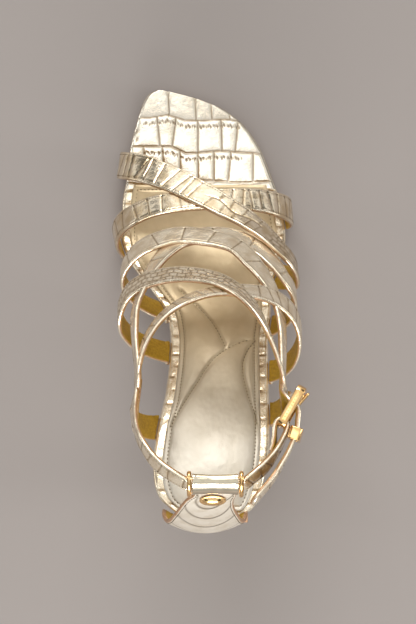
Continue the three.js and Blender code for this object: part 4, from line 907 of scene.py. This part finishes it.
def heel():
    ring = seat_ring()
    middle = (lateral_x(BREAST) + medial_x(BREAST)) / 2
    x, y = ring[:, 0] - middle, ring[:, 1] - HEEL_INSET
    depth = BREAST - HEEL_INSET
    lowest = TIP + GAP
    wide, deep, back = (curve(HEEL, "up", key) for key in ("wide", "deep", "back"))
    ups = np.linspace(0, 1, 70)
    rows = [stack(middle + x * wide(up), HEEL_INSET + back(up) * depth + y * deep(up),
                  lowest + (under_board(ring[:, 1]) - lowest) * up) for up in ups]
    seat_shares = (0.8, 0.5, 0.2)
    for share in seat_shares:
        seat_y = HEEL_INSET + depth / 2 + (y - depth / 2) * share
        rows.append(stack(middle + x * share, seat_y, under_board(seat_y)))
    grid = np.stack(rows)
    run = run_along(ring)
    u = HEEL_RUN * np.concatenate([ups, np.ones(len(seat_shares))])[:, None]
    v = run - run[-1] / 2
    height, cut = scales(u, np.mod(v, HEEL_STRIP) - HEEL_STRIP / 2, HEEL_STRIP / 2, ((0, 1, 2, 9),), 41)
    cut[-len(seat_shares):] = 0
    away = grid - grid.mean(1, keepdims=True)
    away[..., 2] = 0
    grid = grid + unit(away + 1e-9) * (np.clip(height, -0.3, 0) * 0.9 * (u < HEEL_RUN))[..., None]
    add_mesh("heel_covered", *loops_mesh(grid), [CROC], "gold_leather", "heel",
             flat=stack(u, v, 5.0).reshape(-1, 3), groove=cut.ravel())

    foot, tips = rows[0], []
    for z, shrink in ((0, 0.97), (0.3, 1), (TIP - 0.3, 1), (TIP, 0.985)):
        tips.append(foot.mean(0) + (foot - foot.mean(0)) * shrink)
        tips[-1][:, 2] = z
    add_mesh("top_lift_finished", *loops_mesh(np.stack(tips)), [RUBBER], "tip_rubber", "top_lift", smooth=False)


heel()


# Heel tab, tunnel, rings and stud
def tab_point(up, side):
    half = tab_half(up) * TUNNEL
    bend = (WRAP_BASE + (WRAP_TOP - WRAP_BASE) * np.maximum(up, 0)) / TUNNEL
    return stack(SHIFT * tab_shift(up) + half * side, TAB_LEAN * tab_back(up) + bend * (half * side) ** 2,
                 SEAT + TAB_HEIGHT * up)


def tab_normal(up, side):
    rise = tab_point(np.minimum(up + 0.02, 1), side) - tab_point(up - 0.02, side)
    return unit(np.cross(tab_point(up, side + 0.02) - tab_point(up, side - 0.02), rise))


# Creases bowed round the tab: the share of its height at the middle of each
TAB_CREASES = (0.16, 0.4, 0.57, 0.72)
CREASE_WIDE, CREASE_DEEP, CREASE_BOW = 0.6, 0.4, 0.22
TAB_RUN = 80


def heel_tab():
    ups = np.linspace(-0.07, TAB_TOP, 110)
    shares = np.concatenate([[-1, -0.985, -0.95], np.linspace(-0.9, 0.9, 41), [0.95, 0.985, 1]])
    up, side = np.meshgrid(ups, shares, indexing="ij")
    half = tab_half(up) * TUNNEL
    inset = half * (1 - np.abs(side))
    near = np.min([np.abs(up - crease - CREASE_BOW * side**2) for crease in TAB_CREASES], 0) * TAB_HEIGHT
    cut = bell(near, CREASE_WIDE)
    soft = faded(inset, 0.8, 1.2)
    rise = (-CREASE_DEEP * cut * soft - 0.15 * bell(inset - SEAM, 0.4)) * 0.7 - rounding(inset, 0.7) - 0.1
    outer = tab_point(up, side) + tab_normal(up, side) * rise[..., None]
    inner_up, inner_side = np.meshgrid(ups, [1, 0.94, 0.5, 0, -0.5, -0.94, -1], indexing="ij")
    sink = np.array([0.8, 1, 1, 1, 1, 1, 0.8])[:, None] * TAB_THICK
    inner = tab_point(inner_up, inner_side) - tab_normal(inner_up, inner_side) * sink
    grid = np.concatenate([outer, inner], 1)
    # What would lie inside the board is drawn back behind it
    x, y, z = np.moveaxis(grid, -1, 0)
    low = z < board_top(np.clip(y, 0, 20)) + 0.2
    inside = low & (y > -0.1) & (x > medial_x(y)) & (x < lateral_x(y))
    grid[..., 1] = np.where(inside, -GAP / 2, y)
    face, count = len(shares), grid.shape[1]
    j = np.tile(np.arange(count), grid.shape[0] - 1)
    edge = (j < 2) | ((j >= face - 3) & (j <= face)) | (j >= count - 2)
    w = np.concatenate([half * side, tab_half(inner_up) * TUNNEL * inner_side], 1)
    add_mesh("heel_tab_sewn", *loops_mesh(grid), [TAB_LIT_LEATHER, EDGE, LINING], "gold_leather", "heel_tab",
             kinds=np.concatenate([np.where(edge, 1, np.where(j < face, 0, 2)), [1, 1]]),
             flat=stack(TAB_RUN * ups[:, None], w, 6.0).reshape(-1, 3),
             groove=np.hstack([cut * soft, 0 * inner_side]).ravel())
    seam_up = np.linspace(0.0, 0.9, 120)
    for sign in (-1, 1):
        at = sign * (1 - SEAM / (tab_half(seam_up) * TUNNEL))
        normal = tab_normal(seam_up, at)
        stitch(tab_point(seam_up, at) - normal * 0.15, normal)


heel_tab()

TO_LATERAL = np.array([1.0, 0, 0])
TUNNEL_AT = (-1.0, -1.2)
tunnel_out = form_normal(*TUNNEL_AT)
tunnel_middle = form_point(*TUNNEL_AT) + tunnel_out * THICK / 2
tunnel_up = unit(np.cross(tunnel_out, TO_LATERAL))


def oval(x, wide, deep, count=48):
    cos, sin = circle(count)
    return np.array([x, *tunnel_middle[1:]]) + tunnel_up * wide / 2 * cos + tunnel_out * deep / 2 * sin


def tunnel():
    rows = []
    shares = np.linspace(-1, 1, 60)
    for share in shares:
        waist = 1 - 0.1 * (1 - share * share) + 0.012 * bell(abs(share) - 0.9, 0.04)
        crease = 0.02 * math.sin(share * 9) * bell(share + 0.1, 0.5)
        x = SHIFT + share * TUNNEL / 2
        rows.append(oval(x, TUNNEL_WIDE * (waist + crease * 0.3), TUNNEL_DEEP * (waist + crease)))
    for share in shares[::-6]:
        x = SHIFT + share * TUNNEL / 2
        rows.append(oval(x, TUNNEL_WIDE - 2 * TUNNEL_WALL, TUNNEL_DEEP - 2 * TUNNEL_WALL))
    points, faces = loops_mesh(np.stack(rows), closed_rows=True)
    add_mesh("tunnel_foil", points, faces, [FOIL], "gold_leather", "heel_tab")
    for name, side in (("medial", -1), ("lateral", 1)):
        x = SHIFT + side * (TUNNEL / 2 + GAP + RING / 2)
        rows = []
        for a in np.linspace(0, 2 * np.pi, 17)[:-1]:
            over = RING * math.cos(a)
            rows.append(oval(x + RING / 2 * math.sin(a), TUNNEL_WIDE + RING_OVER_WIDE + over,
                             TUNNEL_DEEP + RING_OVER_DEEP + over))
        points, faces = loops_mesh(np.stack(rows), closed_rows=True)
        add_mesh(f"ring_{name}", points, faces, [GOLD], "gold_metal", f"tunnel_ring_{name}")


tunnel()

# Turned shapes: a place along the axis and a radius for each ring
STUD = ((0, 0.001), (0, 1), (0.25, 1.04), (0.5, 1), (0.62, 0.9), (0.5, 0.82), (0.62, 0.78), (1.2, 0.7),
        (1.75, 0.5), (2.1, 0.25), (2.2, 0.001))
STUD_HALF_WIDE, STUD_HALF_TALL = 6.1, 4.2
DOT = ((0, 0.42), (0.18, 0.34), (0.28, 0.12))
DOTS, DOT_START, DOT_PITCH, DOT_SINK = 9, 2.2, 1.55, 0.03
PRONG_SHAPE = ((0, 0.3), (0.02, 0.8), (0.06, 1), (0.5, 0.95), (0.9, 0.85), (0.97, 0.7), (1, 0.25))

# Plain oval stud with a beaded rim
stud_out = tab_normal(STUD_UP, 0.0)
stud_up = unit(np.cross(stud_out, TO_LATERAL))
points, faces = turned(STUD, tab_point(STUD_UP, 0.0) + stud_out * GAP, stud_out, TO_LATERAL * STUD_HALF_WIDE,
                       stud_up * STUD_HALF_TALL, 48)
add_mesh("stud_domed", points, faces, [GOLD], "gold_metal", "tab_stud")

# Buckle, prong and keeper
tilt_along = bar["along"] * math.cos(TILT) + bar["normal"] * math.sin(TILT)
tilt_out = bar["normal"] * math.cos(TILT) - bar["along"] * math.sin(TILT)
upright = np.cross(tilt_out, tilt_along)
far_bar = BUCKLE_LENGTH - HINGE / 2 - BUCKLE_BAR / 2
SQUARE = 0.25


def frame_ring(middle, axes, x0, x1, y0, y1, corner, bar_wide, depth, hinge=None, sections=12):
    """A rounded rectangular ring of metal, its section a soft rectangle, in the plane of the first two axes.

    With a hinge size the bar at x0 is a thinner one, of that width and depth.
    """
    def path(inset):
        r = max(corner - inset, 0.3)
        low_x = x0 + inset * (hinge / bar_wide if hinge else 1)
        out = []
        for cx, cy, start in ((x1 - inset - r, y0 + inset + r, -90), (x1 - inset - r, y1 - inset - r, 0),
                              (low_x + r, y1 - inset - r, 90), (low_x + r, y0 + inset + r, 180)):
            for k in range(9):
                a = math.radians(start + 90 * k / 8)
                out.append((cx + r * math.cos(a), cy + r * math.sin(a)))
            if start == 90:
                out += [(low_x, y) for y in np.linspace(out[-1][1], y0 + inset + r, 12)[1:-1]]
        return np.array(out)

    outer, inner = path(0), path(bar_wide)
    deep = np.full(len(outer), depth)
    if hinge:
        room = faded(np.minimum(outer[:, 1] - y0, y1 - outer[:, 1]), bar_wide, 0.6) * (outer[:, 0] < x0 + hinge)
        deep = depth + (hinge - depth) * room
    rows = []
    for c, s in np.hstack(circle(sections)):
        flat = inner + (outer - inner) * (0.5 + 0.5 * math.copysign(abs(c) ** SQUARE, c))
        high = 0.5 * deep[:, None] * math.copysign(abs(s) ** SQUARE, s)
        rows.append(middle + axes[0] * flat[:, :1] + axes[1] * flat[:, 1:] + axes[2] * high)
    return loops_mesh(np.stack(rows), closed_rows=True)


def joined(parts):
    """Several meshes as one: their points, and their faces counted on."""
    points, faces, count = [], [], 0
    for part_points, part_faces in parts:
        points.append(part_points)
        faces += [[count + i for i in face] for face in part_faces]
        count += len(part_points)
    return np.vstack(points), faces


def buckle():
    half = BUCKLE_HEIGHT / 2
    parts = [frame_ring(bar_middle, (tilt_along, upright, tilt_out), -HINGE / 2, far_bar + BUCKLE_BAR / 2,
                        -half, half, BUCKLE_CORNER, BUCKLE_BAR, BUCKLE_DEPTH, hinge=HINGE)]
    for k in range(DOTS):
        for side in (-1, 1):
            spot = bar_middle + tilt_along * (DOT_START + k * DOT_PITCH) + upright * side * (half - DOT_SINK)
            points, faces = turned(DOT, 0.0, upright * side, tilt_along, tilt_out, 8)
            parts.append((points + spot, faces))
    add_mesh("buckle_frame_polished", *joined(parts), [GOLD], "gold_metal", "buckle_frame")

    root = bar_middle + tilt_along * (HINGE / 2 + GAP + PRONG)
    tip = bar_middle + tilt_along * (far_bar + 0.6) + tilt_out * (BUCKLE_DEPTH / 2 + 2 * GAP + PRONG)
    side = unit(np.cross(unit(tip - root), tilt_out))
    lift = np.cross(side, unit(tip - root))
    points, faces = turned(PRONG_SHAPE, root, tip - root, side * PRONG, lift * PRONG, 16)
    add_mesh("prong_polished", points, faces, [GOLD], "gold_metal", "buckle_prong")

    place = beside(coarse, behind=KEEPER_BACK)
    low = THICK + KEEPER_STAND
    top = low + THICK + 2 * KEEPER_PLAY + 2 * KEEPER_WALL
    high = place["wide"] / 2 + KEEPER_PLAY + KEEPER_WALL
    axes = place["normal"], place["across"], np.cross(place["normal"], place["across"])
    points, faces = frame_ring(place["point"], axes, low, top, -high, high, KEEPER_CORNER, KEEPER_WALL,
                               KEEPER_LENGTH, sections=14)
    add_mesh("keeper_polished", points, faces, [GOLD], "gold_metal", "keeper")


buckle()

sewn = [(place, STITCH_FACES) for row in stitch_points for place in row]
add_mesh("stitching", *joined(sewn), [THREAD], "gold_leather")

# Floor, light from around, lamps and camera
FLOOR_HALF, FLOOR_DROP = 0.6, 0.0002
scene = bpy.context.scene
scene.view_settings.view_transform = "Standard"
floor = bpy.data.objects.new("floor", bpy.data.meshes.new("floor"))
corners = [(x * FLOOR_HALF, y * FLOOR_HALF, 0) for x, y in ((-1, -1), (1, -1), (1, 1), (-1, 1))]
floor.data.from_pydata(corners, [], [(0, 1, 2, 3)])
floor.data.materials.append(
    speckled("floor_grey", (0.302, 0.271, 0.254), (0.298, 0.267, 0.25), rough=0.9, scale=3, bumpy=0.0)
)
scene.collection.objects.link(floor)
floor.location.z = -FLOOR_DROP

# Bands of brightness by height, in front, at the sides and behind
FRONT = ((0, 0.2), (0.42, 0.6), (0.48, 1.2), (0.6, 1.2), (0.75, 1.15), (0.88, 1.0), (1, 0.85))
SIDES = ((0, 0.15), (0.45, 0.2), (0.5, 0.9), (0.56, 0.85), (0.61, 0.06), (0.8, 0.08), (0.87, 0.95), (1, 0.85))
BACK = ((0, 0.2), (0.42, 0.6), (0.48, 1.2), (0.6, 1.1), (0.66, 0.2), (0.76, 0.25), (0.84, 1.0), (1, 0.85))
BRIGHTEST = 1.2
WARM = (1, 0.985, 0.96)


def studio_world():
    world = bpy.data.worlds.new("studio")
    nodes = Nodes(world)
    toward = nodes.add("TexCoord", "Generated", {})
    x, y, z = (nodes.add("SeparateXYZ", axis, {"Vector": toward}) for axis in "XYZ")
    height = nodes.math("MULTIPLY_ADD", z, 0.5, 0.5)
    front, sides, back = (
        nodes.ramp(height, *((at, [light / BRIGHTEST * part for part in WARM]) for at, light in bands))
        for bands in (FRONT, SIDES, BACK)
    )

    def share(value, slope, start):
        part = nodes.math("MULTIPLY_ADD", value, slope, start)
        return nodes.math("MINIMUM", nodes.math("MAXIMUM", part, 0.0), 1.0)

    ends = nodes.mix("MIX", share(y, -4.0, -0.2), front, back)
    aside = share(nodes.math("ABSOLUTE", x), 3.2, -0.55)
    shader = nodes.tree.nodes["Background"]
    nodes.put(shader.inputs["Color"], nodes.mix("MIX", aside, ends, sides))
    nodes.put(shader.inputs["Strength"], nodes.math("MULTIPLY_ADD", y, 0.24, 1.15))
    return world


scene.world = studio_world()

for name, place, target, size, power, colour in (
    ("overhead", (-0.2, 0.15, 1.8), (0, 0, 0), (0.6, 0.8), 2.5, WARM),
    ("front_box", (-0.15, 1.2, 0.95), (0, 0, 0.08), (0.9, 0.5), 10, (1, 1, 1)),
    ("back_box", (0, -1.2, 0.5), (0, 0, 0.1), (0.9, 0.5), 14, (1, 1, 1)),
    ("left_box", (-1.3, 0.2, 0.35), (0, 0, 0.08), (0.2, 1.2), 2, (1, 1, 1)),
    ("right_box", (1.2, -0.1, 0.4), (0, 0, 0.08), (0.25, 1.2), 4, (1, 1, 1)),
):
    lamp_data = bpy.data.lights.new(name, "AREA")
    lamp_data.shape = "RECTANGLE"
    lamp_data.size, lamp_data.size_y = size
    lamp_data.energy = power
    lamp_data.color = colour
    lamp = bpy.data.objects.new(name, lamp_data)
    scene.collection.objects.link(lamp)
    lamp.location = place
    aim = unit(np.subtract(target, place))
    lamp.rotation_euler = (math.acos(-aim[2]), 0, math.atan2(-aim[0], aim[1]))

camera_data = bpy.data.cameras.new("camera")
camera_data.sensor_fit = "HORIZONTAL"
camera_data.sensor_width = 36
camera_data.lens = 229.07
camera_data.clip_end = 10
camera = bpy.data.objects.new("camera", camera_data)
scene.collection.objects.link(camera)
camera.location = tuple(to_row((0, 103.7, 1400)))
scene.camera = camera
